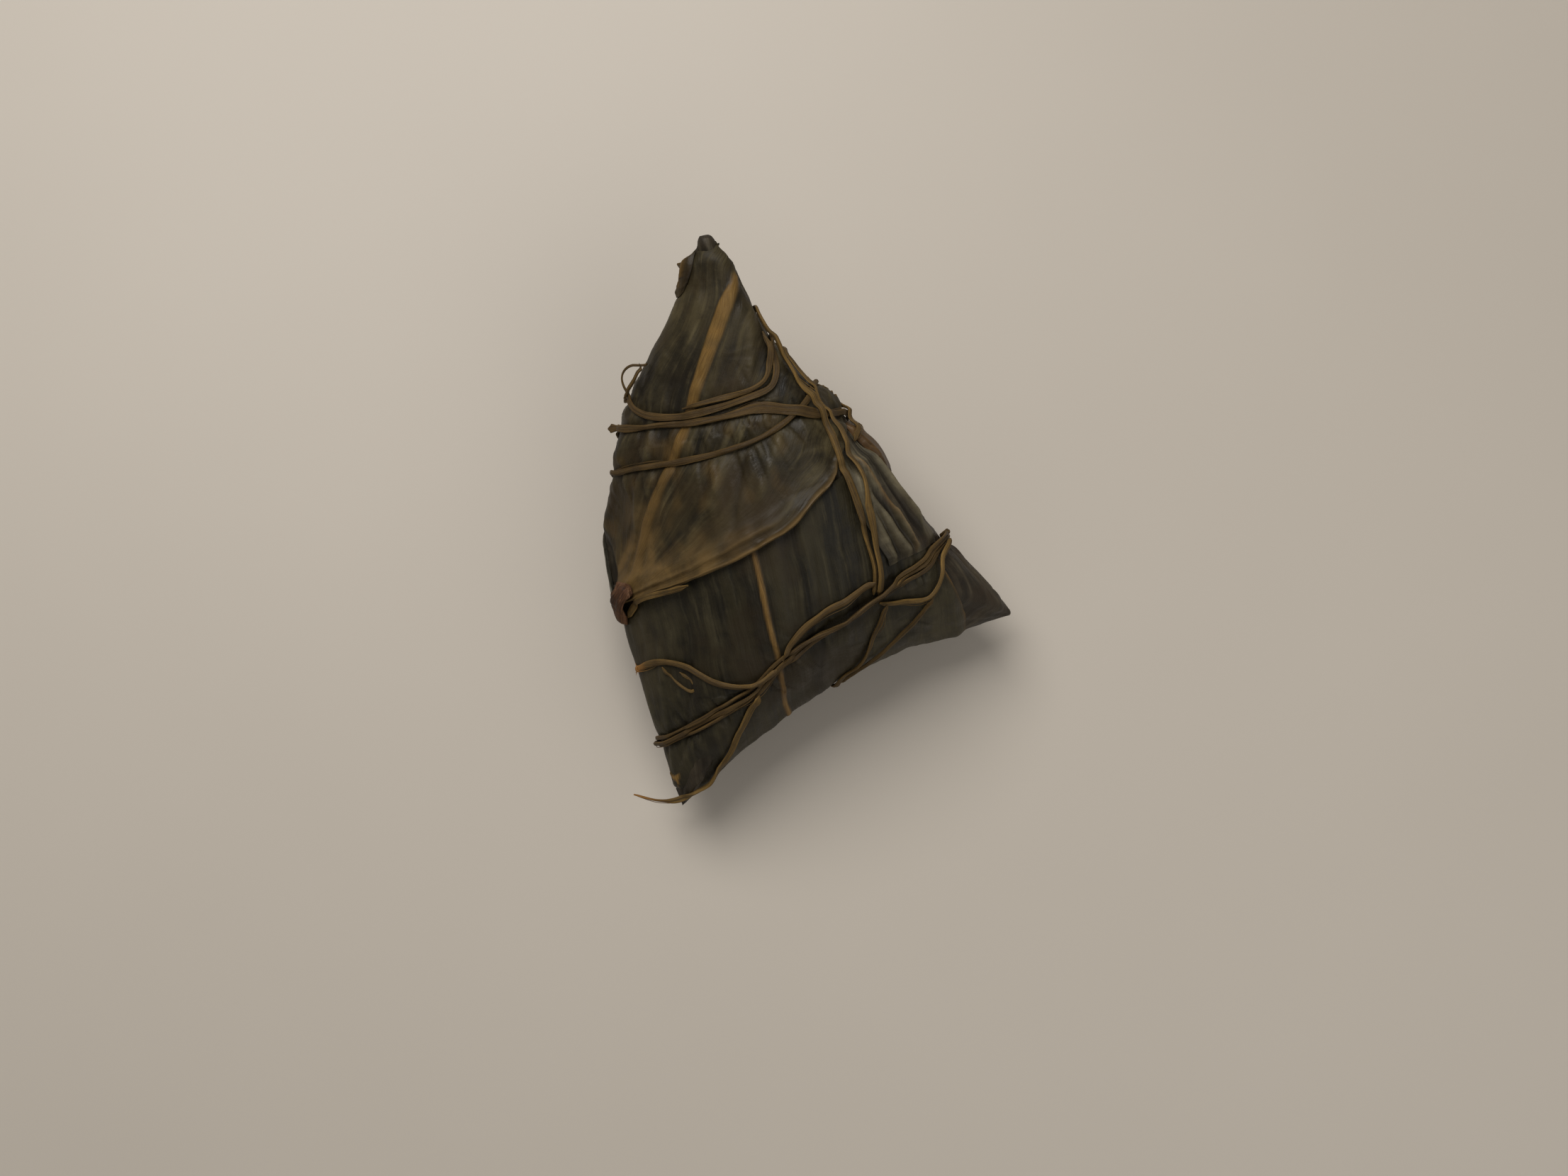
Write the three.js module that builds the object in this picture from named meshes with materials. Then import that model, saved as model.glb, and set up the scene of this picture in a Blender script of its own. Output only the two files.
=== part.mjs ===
// A rice dumpling wrapped in broad leaves and tied with strips of straw.
// Millimetres, +Z up. It lies on a small flat spot of its belly, with its long tip raised.

import * as THREE from 'three';
import { mergeVertices } from 'three/addons/utils/BufferGeometryUtils.js';

const vec = ( x, y, z ) => new THREE.Vector3( x, y, z );

// Driving dimensions of the parcel: its four leaf corners, the crest of the upper face and
// the belly below it. Every other piece is laid on this form.
const corners = {
	tip: vec( - 11.5, 53.4, 46 ),
	foot: vec( - 17.7, - 39, 11 ),
	horn: vec( 39.4, - 5.4, 12 ),
	shoulder: vec( - 30.2, 5.6, 18 ),
	crest: vec( 8, 10, 45 ),
	belly: vec( - 5, 9, - 12 )
};

// How far the edge between two corners stands off the straight line, at its middle or, with
// a lean of 2, at a third of the way from the first corner.
const bows = [
	[ 'tip', 'shoulder', vec( - 9, 0, 0 ) ],
	[ 'tip', 'shoulder', vec( 3.6, - 0.6, 0 ), 2 ],
	[ 'tip', 'horn', vec( 0.4, 0.4, - 2 ) ],
	[ 'tip', 'horn', vec( - 3.2, - 1.6, 0 ), 2 ],
	[ 'foot', 'shoulder', vec( - 1, 0, 1 ) ],
	[ 'foot', 'horn', vec( - 1.8, 4.1, 3 ) ],
	[ 'crest', 'shoulder', vec( - 2, 0, 5 ) ],
	[ 'crest', 'foot', vec( 0, - 2, 6 ) ],
	[ 'crest', 'horn', vec( 1, 0, 5 ) ],
	[ 'belly', 'tip', vec( 0, 2, - 4 ) ],
	[ 'belly', 'horn', vec( 1, 0, - 4 ) ],
	[ 'belly', 'foot', vec( 0, - 1, - 3 ) ],
	[ 'belly', 'shoulder', vec( - 2, 0, - 4 ) ]
];

// Local fullness: within reach of a place the surface moves by an offset.
const swells = [
	{ at: vec( - 29.5, 15.5, 23 ), reach: 11, by: vec( 2.4, 0, 0 ) },
	{ at: vec( - 25.6, 29, 30 ), reach: 9, by: vec( - 1.5, 0, 0 ) },
	{ at: vec( 13, 21.5, 31 ), reach: 8, by: vec( 1, 1, 0 ) }
];

const rounding = vec( 0.6, 0.5, 0.3 ); // of the folds left to right, front to back, top to bottom
const restBlend = 1.5; // height over which the belly turns into the flat it rests on
const parcelDetail = 15;
const clearance = 0.3; // air left between pieces that touch
const leafThickness = 0.6;

// Straw strips: wide and flat, with six sides and a step along the strip.
const strawWidth = 1.5, strawThickness = 0.7, strawSides = 6, strawStep = 2.8;

const material = ( color, roughness ) => {

	return new THREE.MeshStandardMaterial( { color, roughness, metalness: 0 } );

};

const finishes = {
	parcel: material( 0x332c23, 0.5 ),
	leaf: material( 0x3e382c, 0.5 ),
	paleLeaf: material( 0x5c564d, 0.55 ),
	brownLeaf: material( 0x5a4129, 0.6 ),
	straw: material( 0x6e5635, 0.65 )
};

const group = new THREE.Group();

function add( name, geometry, finish ) {

	const mesh = new THREE.Mesh( geometry, finish );
	mesh.name = name;
	group.add( mesh );
	return mesh;

}

// Rises from nothing at minus reach into a straight line of slope one at reach.
function softened( value, reach ) {

	if ( value > reach ) return value;
	return value < - reach ? 0 : ( value + reach ) ** 2 / ( 4 * reach );

}

// Point of the parcel for a direction from its middle. The direction's parts weigh the corners.
function parcelPoint( direction ) {

	const spread = 1.02 - Math.abs( direction.x ) ** 6 - Math.abs( direction.y ) ** 6;
	const halves = ( value, round ) => {

		const reach = round * spread;
		return [ softened( value, reach ), softened( - value, reach ) ];

	};

	const [ horn, shoulder ] = halves( direction.x, rounding.x );
	const [ tip, foot ] = halves( direction.y, rounding.y );
	const [ crest, belly ] = halves( direction.z, rounding.z );
	const weight = { tip, foot, horn, shoulder, crest, belly };
	const total = tip + foot + horn + shoulder + crest + belly;
	const point = vec( 0, 0, 0 );
	for ( const name in corners ) {

		weight[ name ] /= total;
		point.addScaledVector( corners[ name ], weight[ name ] );

	}

	for ( const [ a, b, bow, lean = 1 ] of bows ) {

		const full = lean ** lean / ( lean + 1 ) ** ( lean + 1 );
		point.addScaledVector( bow, weight[ a ] ** lean * weight[ b ] / full );

	}

	for ( const { at, reach, by } of swells ) {

		point.addScaledVector( by, Math.max( 0, 1 - point.distanceToSquared( at ) / reach ** 2 ) ** 2 );

	}

	point.z = softened( point.z, restBlend );
	return point;

}

function parcelGeometry() {

	let geometry = new THREE.OctahedronGeometry( 1, parcelDetail );
	geometry.deleteAttribute( 'normal' );
	geometry.deleteAttribute( 'uv' );
	geometry = mergeVertices( geometry, 1e-5 );
	const position = geometry.getAttribute( 'position' );
	const direction = vec( 0, 0, 0 );
	for ( let i = 0; i < position.count; i ++ ) {

		const point = parcelPoint( direction.fromBufferAttribute( position, i ) );
		position.setXYZ( i, point.x, point.y, point.z );

	}

	geometry.computeVertexNormals();
	return geometry;

}

const parcel = add( 'leaf_parcel', parcelGeometry(), finishes.parcel );

// Nearest place on the parcel, with its smooth normal.
const faces = ( () => {

	const { index } = parcel.geometry;
	const position = parcel.geometry.getAttribute( 'position' );
	const normal = parcel.geometry.getAttribute( 'normal' );
	const list = [];
	for ( let i = 0; i < index.count; i += 3 ) {

		const ids = [ 0, 1, 2 ].map( ( k ) => index.getX( i + k ) );
		const ends = ids.map( ( id ) => vec( 0, 0, 0 ).fromBufferAttribute( position, id ) );
		const triangle = new THREE.Triangle( ...ends );
		const normals = ids.map( ( id ) => vec( 0, 0, 0 ).fromBufferAttribute( normal, id ) );
		const middle = triangle.getMidpoint( vec( 0, 0, 0 ) );
		list.push( { triangle, normals, middle, radius: middle.distanceTo( triangle.a ) + 3 } );

	}

	return list;

} )();

function nearest( place ) {

	let best = Infinity;
	let found = null;
	const candidate = vec( 0, 0, 0 );
	for ( const face of faces ) {

		if ( place.distanceTo( face.middle ) - face.radius > best ) continue;
		face.triangle.closestPointToPoint( place, candidate );
		const distance = candidate.distanceTo( place );
		if ( distance < best ) {

			best = distance;
			found = { face, point: candidate.clone() };

		}

	}

	const { triangle, normals } = found.face;
	const normal = vec( 0, 0, 0 );
	THREE.Triangle.getInterpolation(
		found.point, triangle.a, triangle.b, triangle.c, ...normals, normal );
	return { point: found.point, normal: normal.normalize() };

}

// How high the pieces laid so far stand above a place on the parcel.
const laid = [ parcel ];
const caster = new THREE.Raycaster();
const reach = 12;

function heightAbove( { point, normal } ) {

	caster.set( point.clone().addScaledVector( normal, reach ), normal.clone().negate() );
	caster.far = reach;
	const hit = caster.intersectObjects( laid, false )[ 0 ];
	return hit ? reach - hit.distance : 0;

}

// Raises the spots of a new piece until its underside clears everything laid before it.
// Each probe is a mix of underside points, given as [ spot, point ] pairs with their shares.
const settlingRounds = 4;

function settle( spots, pointsOf, probes ) {

	for ( let round = 0; round < settlingRounds; round ++ ) {

		const points = pointsOf();
		const lifts = spots.map( () => 0 );
		for ( const probe of probes ) {

			const place = vec( 0, 0, 0 );
			for ( const [ , point, share ] of probe ) place.addScaledVector( points[ point ], share );
			const under = nearest( place );
			const need = heightAbove( under ) + clearance - place.sub( under.point ).dot( under.normal );
			if ( need > 0 ) for ( const [ spot ] of probe ) lifts[ spot ] = Math.max( lifts[ spot ], need );

		}

		spots.forEach( ( spot, i ) => {

			spot.height += lifts[ i ] * ( 1 - ( spot.loose ?? 0 ) );

		} );

	}

	return pointsOf();

}

function lay( name, geometry, finish ) {

	const mesh = add( name, geometry, finish );
	mesh.updateMatrixWorld( true );
	laid.push( mesh );

}

// Closed solid from rings of points: each ring is joined to the next, and the ends are capped.
function skinRings( points, count ) {

	const triangles = [];
	const last = points.length - count;
	for ( let start = 0; start < last; start += count ) {

		for ( let k = 0; k < count; k ++ ) {

			const a = start + k, b = start + ( k + 1 ) % count;
			triangles.push( a, b, a + count, b, b + count, a + count );

		}

	}

	for ( let k = 1; k + 1 < count; k ++ ) triangles.push( 0, k + 1, k, last, last + k, last + k + 1 );
	return solidFrom( points, triangles );

}

// Closed solid with its faces outwards, whichever way its rows were given.
function solidFrom( points, triangles ) {

	let volume = 0;
	const cross = vec( 0, 0, 0 );
	for ( let i = 0; i < triangles.length; i += 3 ) {

		const [ a, b, c ] = triangles.slice( i, i + 3 ).map( ( id ) => points[ id ] );
		volume += a.dot( cross.crossVectors( b, c ) );

	}

	const geometry = new THREE.BufferGeometry();
	const numbers = points.flatMap( ( point ) => point.toArray() );
	geometry.setAttribute( 'position', new THREE.Float32BufferAttribute( numbers, 3 ) );
	geometry.setIndex( volume < 0 ? triangles.reverse() : triangles );
	geometry.computeVertexNormals();
	return geometry;

}

const curveThrough = ( places ) => new THREE.CatmullRomCurve3(
	places.map( ( place ) => vec( ...place ) ), false, 'centripetal' );

// A leaf laid on the parcel. Three rails, left, middle and right, run along it; each is a list
// of places that a smooth curve passes through. Both faces are split into triangles alike.
function leafGeometry( rails, along, across, relief = () => 0 ) {

	const curves = rails.map( curveThrough );
	const spots = [];
	for ( let i = 0; i <= along; i ++ ) {

		const [ left, middle, right ] = curves.map( ( curve ) => curve.getPoint( i / along ) );
		for ( let j = 0; j <= across; j ++ ) {

			const v = j / across;
			const place = vec( 0, 0, 0 )
				.addScaledVector( left, ( 1 - v ) * ( 1 - 2 * v ) )
				.addScaledVector( middle, 4 * v * ( 1 - v ) )
				.addScaledVector( right, v * ( 2 * v - 1 ) );
			spots.push( { ...nearest( place ), height: clearance, relief: relief( i / along, v ) } );

		}

	}

	const triangles = [];
	const id = ( i, j ) => i * ( across + 1 ) + j;
	for ( let i = 0; i < along; i ++ ) {

		for ( let j = 0; j < across; j ++ ) {

			const a = id( i, j ), b = id( i, j + 1 ), c = id( i + 1, j ), d = id( i + 1, j + 1 );
			triangles.push( [ a, b, d ], [ a, d, c ] );

		}

	}

	const shares = [
		[ 1 / 3, 1 / 3, 1 / 3 ], [ 0.5, 0.5, 0 ], [ 0, 0.5, 0.5 ], [ 0.5, 0, 0.5 ],
		[ 1, 0, 0 ], [ 0, 1, 0 ], [ 0, 0, 1 ]
	];
	const probes = triangles.flatMap( ( ids ) => shares.map( ( share ) => {

		return ids.map( ( point, k ) => [ point, point, share[ k ] ] );

	} ) );
	const face = ( thickness ) => spots.map( ( { point, normal, height, relief } ) => {

		return point.clone().addScaledVector( normal, height + relief + thickness );

	} );
	const under = settle( spots, () => face( 0 ), probes );

	const side = spots.length;
	const shell = triangles.flatMap( ( [ a, b, c ] ) => [ a, b, c, a + side, c + side, b + side ] );
	const wall = ( a, b ) => shell.push( a, a + side, b, b, a + side, b + side );
	for ( let j = 0; j < across; j ++ ) {

		wall( id( 0, j ), id( 0, j + 1 ) );
		wall( id( along, j + 1 ), id( along, j ) );

	}

	for ( let i = 0; i < along; i ++ ) {

		wall( id( i + 1, 0 ), id( i, 0 ) );
		wall( id( i, across ), id( i + 1, across ) );

	}

	return solidFrom( [ ...face( leafThickness ), ...under ], shell );

}

// The lower leaf covers the face from the edge of the upper leaf down and turns under the
// front edge. Its middle rail is its thin rib.
lay( 'lower_leaf', leafGeometry( [
	[ [ - 21.5, - 25, 19 ], [ - 24.5, - 17, 16 ], [ - 27.5, - 9, 15 ], [ - 30.5, - 1, 16 ] ],
	[ [ 1.6, - 23.6, 19 ], [ 0.6, - 20.6, 25 ], [ - 1, - 12.9, 32.4 ], [ - 2.6, 7, 41 ] ],
	[ [ 30, - 7.5, 11 ], [ 30.5, - 5, 20 ], [ 25, 5.5, 28.5 ], [ 15, 21, 33 ] ]
], 14, 16 ), finishes.leaf );

// Pleats of the flank run together towards the horn.
const pleats = 3, pleatDepth = 0.7, pleatFade = 0.6;
const pleatRise = ( u, v ) => pleatDepth * Math.sin( Math.PI * pleats * v ) ** 2 * ( 1 - pleatFade * u );
lay( 'flank_leaf', leafGeometry( [
	[ [ 7.5, 24.5, 38.5 ], [ 10, 16, 39.6 ], [ 12.5, 8, 38.3 ], [ 17, 1, 34 ] ],
	[ [ 9.5, 25, 35.5 ], [ 13.5, 17.5, 36 ], [ 17.5, 10, 34.5 ], [ 21.5, 3.5, 31.5 ] ],
	[ [ 11.5, 25.5, 30 ], [ 17.6, 18.3, 27 ], [ 22, 12, 26 ], [ 25.5, 5.8, 27 ] ]
], 12, 12, pleatRise ), finishes.leaf );

// The upper leaf: its stalk end lies at the left edge, its wide rib runs up to the raised tip,
// and its right margin crosses the face, goes over the flank and back up behind the tip.
lay( 'upper_leaf', leafGeometry( [
	[ [ - 29, - 4.5, 16 ], [ - 30.5, 4, 14 ], [ - 29.5, 15, 15 ],
		[ - 25, 27, 22 ], [ - 19, 38, 31 ], [ - 14, 49, 41 ] ],
	[ [ - 27.2, - 4.5, 18.5 ], [ - 22.2, 9, 30.2 ], [ - 18.2, 20.5, 36.2 ],
		[ - 14, 31, 40.8 ], [ - 10.6, 40, 43.5 ], [ - 9, 49, 44.7 ] ],
	[ [ - 25.8, - 4, 20 ], [ - 9.4, 0.8, 37.1 ], [ 2, 7.6, 41 ],
		[ 9.5, 18.5, 40 ], [ 7, 32, 29 ], [ - 5.5, 49, 42 ] ]
], 22, 16 ), finishes.leaf );

lay( 'under_leaf', leafGeometry( [
	[ [ - 27.5, - 3, 8 ], [ - 28.5, 4, 7 ], [ - 28, 12, 7 ] ],
	[ [ - 28.6, - 5, 11 ], [ - 30.4, 4, 11 ], [ - 29.6, 14, 11 ] ],
	[ [ - 29, - 6, 13.5 ], [ - 31, 3, 14.5 ], [ - 30, 14, 14.5 ] ]
], 8, 4 ), finishes.paleLeaf );

lay( 'tip_fold', leafGeometry( [
	[ [ - 17, 43.5, 39 ], [ - 15.2, 47.4, 41.6 ], [ - 13.4, 50.4, 43.6 ] ],
	[ [ - 14.6, 44.5, 43.2 ], [ - 13, 48, 44.6 ], [ - 12, 50.8, 45.2 ] ],
	[ [ - 11.5, 47, 44.4 ], [ - 10.8, 49, 44.8 ], [ - 10.8, 50.8, 45 ] ]
], 8, 6 ), finishes.leaf );

lay( 'brown_edge', leafGeometry( [
	[ [ 11.6, 26.4, 29 ], [ 15.2, 22, 27 ], [ 18.6, 18, 25 ] ],
	[ [ 11.6, 26.2, 27.5 ], [ 15.2, 21.8, 25.6 ], [ 18.6, 17.8, 23.8 ] ],
	[ [ 11, 25.8, 26 ], [ 14.4, 21.4, 24 ], [ 18, 17.4, 22.4 ] ]
], 6, 3 ), finishes.brownLeaf );

// A straw strip follows a smooth curve through its places. It is laid on whatever is under
// it, or hangs free where a place ends with the word free.
function strawGeometry( places, width, thickness, step ) {

	const curve = curveThrough( places );
	const steps = Math.max( 3, Math.round( curve.getLength() / step ) );
	const spots = [];
	for ( let i = 0; i <= steps; i ++ ) {

		const t = curve.getUtoTmapping( i / steps );
		const place = curve.getPoint( t );
		const leg = Math.min( t * ( places.length - 1 ), places.length - 1 - 1e-9 );
		const from = Math.floor( leg );
		const looseAt = ( k ) => places[ k ][ 3 ] === 'free' ? 1 : 0;
		const loose = THREE.MathUtils.lerp( looseAt( from ), looseAt( from + 1 ), leg - from );
		spots.push( { place, loose, ...nearest( place ) } );

	}

	const tangentAt = ( i ) => {

		const ahead = spots[ Math.min( i + 1, steps ) ], behind = spots[ Math.max( i - 1, 0 ) ];
		return ahead.place.clone().sub( behind.place ).normalize();

	};

	spots.forEach( ( spot, i ) => {

		spot.height = clearance;
		spot.tangent = tangentAt( i );
		spot.side = vec( 0, 0, 0 ).crossVectors( spot.tangent, spot.normal ).normalize();
		spot.up = vec( 0, 0, 0 ).crossVectors( spot.side, spot.tangent ).normalize();

	} );

	const ringPoints = () => spots.flatMap( ( { point, normal, place, loose, height, side, up }, i ) => {

		const middle = point.clone().addScaledVector( normal, height + thickness / 2 ).lerp( place, loose );
		const taper = i === 0 || i === steps ? 0.6 : 1;
		return Array.from( { length: strawSides }, ( _, k ) => {

			const angle = 2 * Math.PI * k / strawSides;
			return middle.clone()
				.addScaledVector( side, Math.cos( angle ) * width / 2 * taper )
				.addScaledVector( up, Math.sin( angle ) * thickness / 2 * taper );

		} );

	} );

	const lower = [ 0, 3, 4, 5 ]; // corners of the section that face down or sideways
	const probes = [];
	for ( let i = 0; i < steps; i ++ ) {

		for ( const k of lower ) {

			const ends = [ i * strawSides + k, ( i + 1 ) * strawSides + k ];
			for ( const share of [ 0, 0.25, 0.5, 0.75, 1 ] ) {

				probes.push( [ [ i, ends[ 0 ], 1 - share ], [ i + 1, ends[ 1 ], share ] ] );

			}

		}

	}

	return skinRings( settle( spots, ringPoints, probes ), strawSides );

}

// The straw, in the order in which it was wound: each strip lies over those before it.
const straws = {
	tie_neck_low: { width: 1.3, places: [
		[ - 28.6, 17.6, 25 ], [ - 25.4, 17.9, 30 ], [ - 18.3, 18.4, 35.8 ], [ - 10.8, 19.2, 40.3 ],
		[ - 4.8, 20.8, 42 ], [ - 0.7, 23.1, 42 ], [ 3, 27, 40.5 ], [ 5.6, 32.4, 34 ], [ 4, 31, 27 ],
		[ - 2, 26, 17 ], [ - 9, 21, 9 ], [ - 18, 18, 7 ], [ - 26, 17, 10 ], [ - 29, 17.4, 17 ],
		[ - 28.8, 17.5, 22.6 ] ] },
	tie_neck_cross: { width: 1.7, places: [
		[ - 30.4, 24.8, 26, 'free' ], [ - 27.6, 25, 28 ], [ - 21.6, 24.3, 34.7 ],
		[ - 14.5, 24.2, 39.3 ], [ - 8.5, 25, 41.6 ], [ - 3.9, 26.3, 42.2 ], [ 1.6, 25.7, 41.5 ],
		[ 5.3, 25.5, 39.9 ], [ 10.5, 27, 32 ], [ 10.5, 26, 27 ], [ 4, 25, 17 ], [ - 6, 24, 9 ],
		[ - 17, 23, 9 ], [ - 25, 23, 15 ], [ - 28, 23.4, 21 ], [ - 28.4, 23.8, 24.4 ] ] },
	tie_neck_high: { places: [
		[ - 22.6, 34.6, 35.6 ], [ - 24.6, 34.6, 35.4, 'free' ], [ - 26.6, 33.2, 34.2, 'free' ],
		[ - 26.8, 31, 33, 'free' ], [ - 25.6, 28.4, 32.6 ], [ - 23, 26.4, 33.8 ],
		[ - 17.8, 25.6, 37.4 ], [ - 10.8, 26, 41 ], [ - 5.7, 27.4, 42.1 ], [ - 1.6, 28.8, 42.1 ],
		[ - 0.4, 32.5, 42 ], [ - 1.6, 37.5, 42.2 ], [ - 1.4, 41, 39.6 ], [ - 2.4, 40.6, 34 ],
		[ - 8, 34, 21 ], [ - 15, 31, 18 ], [ - 22, 30, 22 ], [ - 25.8, 29.4, 28.6 ] ] },
	tie_neck_thin: { width: 1.3, places: [
		[ - 15.6, 27.4, 39.2 ], [ - 10.8, 28.6, 41.3 ], [ - 6.2, 30, 42.3 ], [ - 2.6, 32, 42.2 ],
		[ - 2.4, 36, 42.2 ], [ - 4.6, 40.6, 43 ] ] },
	ridge_inner: { width: 1.5, places: [
		[ - 6.5, 42, 34 ], [ - 4.4, 43, 38.6 ], [ - 3.2, 42.4, 41.4 ], [ - 1.4, 37.8, 41.6 ],
		[ 1.8, 33, 40.3 ], [ 4.6, 27.6, 40 ], [ 7.4, 22.8, 39.4 ], [ 9.4, 17.4, 39.8 ],
		[ 11.4, 11.6, 39.2 ], [ 13, 5.5, 37.4 ], [ 14, 0, 35 ], [ 14.4, - 3.4, 33.6 ] ] },
	ridge_outer: { width: 1.4, places: [
		[ - 1.6, 37.6, 29 ], [ 0.2, 37.4, 33.6 ], [ 1.4, 36.6, 37 ], [ 3.6, 33.4, 37.2 ],
		[ 6.4, 29, 37.4 ], [ 9.4, 23.6, 37.5 ], [ 11.8, 18.5, 38 ], [ 13.6, 12.6, 38.6 ],
		[ 15.2, 6, 37 ], [ 16.2, 0, 34.6 ], [ 16.6, - 3.2, 33 ] ] },
	flank_tie: { width: 1.2, places: [
		[ 9, 29.6, 30 ], [ 11, 27, 31.6 ], [ 12.2, 24.4, 32.6 ], [ 11.4, 21.6, 35.2 ] ] },
	horn_tie: { width: 2.4, places: [
		[ 28, 7.6, 21 ], [ 25.6, 5.2, 28.6 ], [ 22.4, 1.9, 30.6 ], [ 17.2, - 2.1, 32.5 ],
		[ 11.8, - 5.9, 33.4 ], [ 7.3, - 8.9, 33.1 ], [ 0.5, - 13.4, 31.6 ], [ - 4.3, - 18.3, 29.1 ],
		[ - 11.8, - 23.4, 25.2 ], [ - 18.3, - 26.7, 18.4 ], [ - 22, - 27.6, 13 ],
		[ - 19.4, - 25.8, 8 ], [ - 8, - 18, 5 ], [ 5, - 9, 4.5 ], [ 18, 0, 6 ], [ 25, 5, 10 ],
		[ 28.4, 8, 16 ], [ 28.2, 7.8, 18.6 ] ] },
	horn_upper: { width: 1.5, places: [
		[ 14.5, - 1.2, 34.6 ], [ 9.6, - 4.6, 35.3 ], [ 5.1, - 7.8, 34.7 ], [ 0.8, - 11.2, 32.6 ] ] },
	horn_loop: { width: 1.5, places: [
		[ 27.6, 6.4, 25 ], [ 26.6, 3.2, 28 ], [ 25.6, - 1.6, 27.4 ], [ 23, - 3.8, 27.8 ],
		[ 19.4, - 4.6, 29.6 ], [ 16.4, - 5, 31 ] ] },
	front_outer: { width: 1.1, places: [
		[ 24.2, - 4.8, 26 ], [ 22.1, - 6.6, 25 ], [ 18, - 10.4, 22.5 ], [ 13.4, - 13.9, 20.6 ],
		[ 10.2, - 16.6, 16 ], [ 9, - 15.6, 12 ] ] },
	front_inner: { width: 1.1, places: [
		[ 16.4, - 6.2, 30 ], [ 15.2, - 9.4, 26.6 ], [ 13.2, - 12.6, 22.6 ], [ 9.6, - 15.4, 20 ],
		[ 7.4, - 17.2, 16 ], [ 6.6, - 16.4, 12.4 ] ] },
	stalk_strip: { width: 1.3, places: [
		[ - 25.6, - 6.2, 20 ], [ - 24, - 5, 22.6 ], [ - 20.6, - 3.6, 27 ], [ - 15.8, - 2.6, 32 ] ] },
	leaf_stalk: { width: 3, thickness: 1.8, finish: finishes.brownLeaf, places: [
		[ - 25.4, - 1.6, 22.4 ], [ - 27, - 4.2, 19 ], [ - 28.4, - 6.8, 17.4, 'free' ] ] },
	loose_upper: { width: 1.3, places: [
		[ - 1.6, - 15.8, 31 ], [ - 5.3, - 17.6, 30 ], [ - 9.6, - 18.4, 28.8 ],
		[ - 12.9, - 16.4, 28.2 ], [ - 17.3, - 13.7, 26 ], [ - 21, - 14, 22.4 ],
		[ - 24, - 15.2, 18.6, 'free' ], [ - 26.4, - 15.8, 17.6, 'free' ] ] },
	loose_split: { width: 0.8, thickness: 0.6, step: 1.4, places: [
		[ - 19.8, - 15, 23 ], [ - 18.9, - 16.8, 24 ], [ - 17, - 18.6, 25 ], [ - 14.9, - 19.4, 26 ],
		[ - 14.6, - 18.4, 26 ], [ - 15.8, - 16.8, 25.8 ] ] },
	loose_lower: { width: 1.3, places: [
		[ - 5.4, - 20.6, 27.6 ], [ - 8.8, - 26, 23.6 ], [ - 11, - 30.6, 19.4 ], [ - 14.3, - 35, 15 ],
		[ - 17.4, - 37.4, 14.6, 'free' ], [ - 21.7, - 37.4, 13, 'free' ],
		[ - 25.8, - 36.4, 12, 'free' ] ] }
};

for ( const [ name, straw ] of Object.entries( straws ) ) {

	const { places, width = strawWidth, thickness = strawThickness, step = strawStep } = straw;
	lay( name, strawGeometry( places, width, thickness, step ), straw.finish ?? finishes.straw );

}

// The origin lies on the ground, under the middle of the whole.
const whole = new THREE.Box3().setFromObject( group );
const middle = whole.getCenter( vec( 0, 0, 0 ) );
group.position.set( - middle.x, - middle.y, - whole.min.z );

export default group;
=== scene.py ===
import math

import bmesh
import bpy
import numpy as np
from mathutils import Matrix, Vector, noise
from mathutils.bvhtree import BVHTree
from mathutils.interpolate import poly_3d_calc
from mathutils.kdtree import KDTree


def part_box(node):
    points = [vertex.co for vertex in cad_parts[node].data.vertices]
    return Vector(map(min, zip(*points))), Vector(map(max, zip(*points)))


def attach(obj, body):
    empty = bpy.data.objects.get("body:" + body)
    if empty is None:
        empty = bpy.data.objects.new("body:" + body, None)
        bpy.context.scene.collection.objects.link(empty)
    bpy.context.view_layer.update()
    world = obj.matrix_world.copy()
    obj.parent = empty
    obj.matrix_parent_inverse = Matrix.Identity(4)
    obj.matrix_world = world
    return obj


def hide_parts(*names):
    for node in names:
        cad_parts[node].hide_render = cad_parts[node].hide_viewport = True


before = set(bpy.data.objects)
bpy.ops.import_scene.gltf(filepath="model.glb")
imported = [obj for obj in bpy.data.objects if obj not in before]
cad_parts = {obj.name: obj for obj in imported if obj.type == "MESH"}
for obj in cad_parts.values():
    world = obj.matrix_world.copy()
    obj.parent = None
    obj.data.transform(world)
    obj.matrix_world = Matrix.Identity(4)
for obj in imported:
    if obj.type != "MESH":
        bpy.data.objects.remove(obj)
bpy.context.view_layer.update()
scene = bpy.context.scene
print("frame loaded")

# Everything is worked out in millimetres and moved into the frame when a piece is finished.
# The parcel is a soft hull over six corners, with bows that move the edges between them.
corners = {
    "tip": (-11.5, 53.4, 46), "foot": (-17.7, -39, 11), "horn": (39.4, -5.4, 12),
    "shoulder": (-30.2, 5.6, 18), "crest": (8, 10, 45), "belly": (-5, 9, -12),
}
bows = [  # from, to, offset, lean
    ("tip", "shoulder", (-9, 0, 0), 1), ("tip", "shoulder", (3.6, -0.6, 0), 2),
    ("tip", "horn", (0.4, 0.4, -2), 1), ("tip", "horn", (-3.2, -1.6, 0), 2),
    ("foot", "shoulder", (-1, 0, 1), 1), ("foot", "horn", (-1.8, 4.1, 3), 1),
    ("crest", "shoulder", (-2, 0, 5), 1), ("crest", "foot", (0, -2, 6), 1),
    ("crest", "horn", (1, 0, 5), 1), ("belly", "tip", (0, 2, -4), 1),
    ("belly", "horn", (1, 0, -4), 1), ("belly", "foot", (0, -1, -3), 1),
    ("belly", "shoulder", (-2, 0, -4), 1),
]
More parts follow.
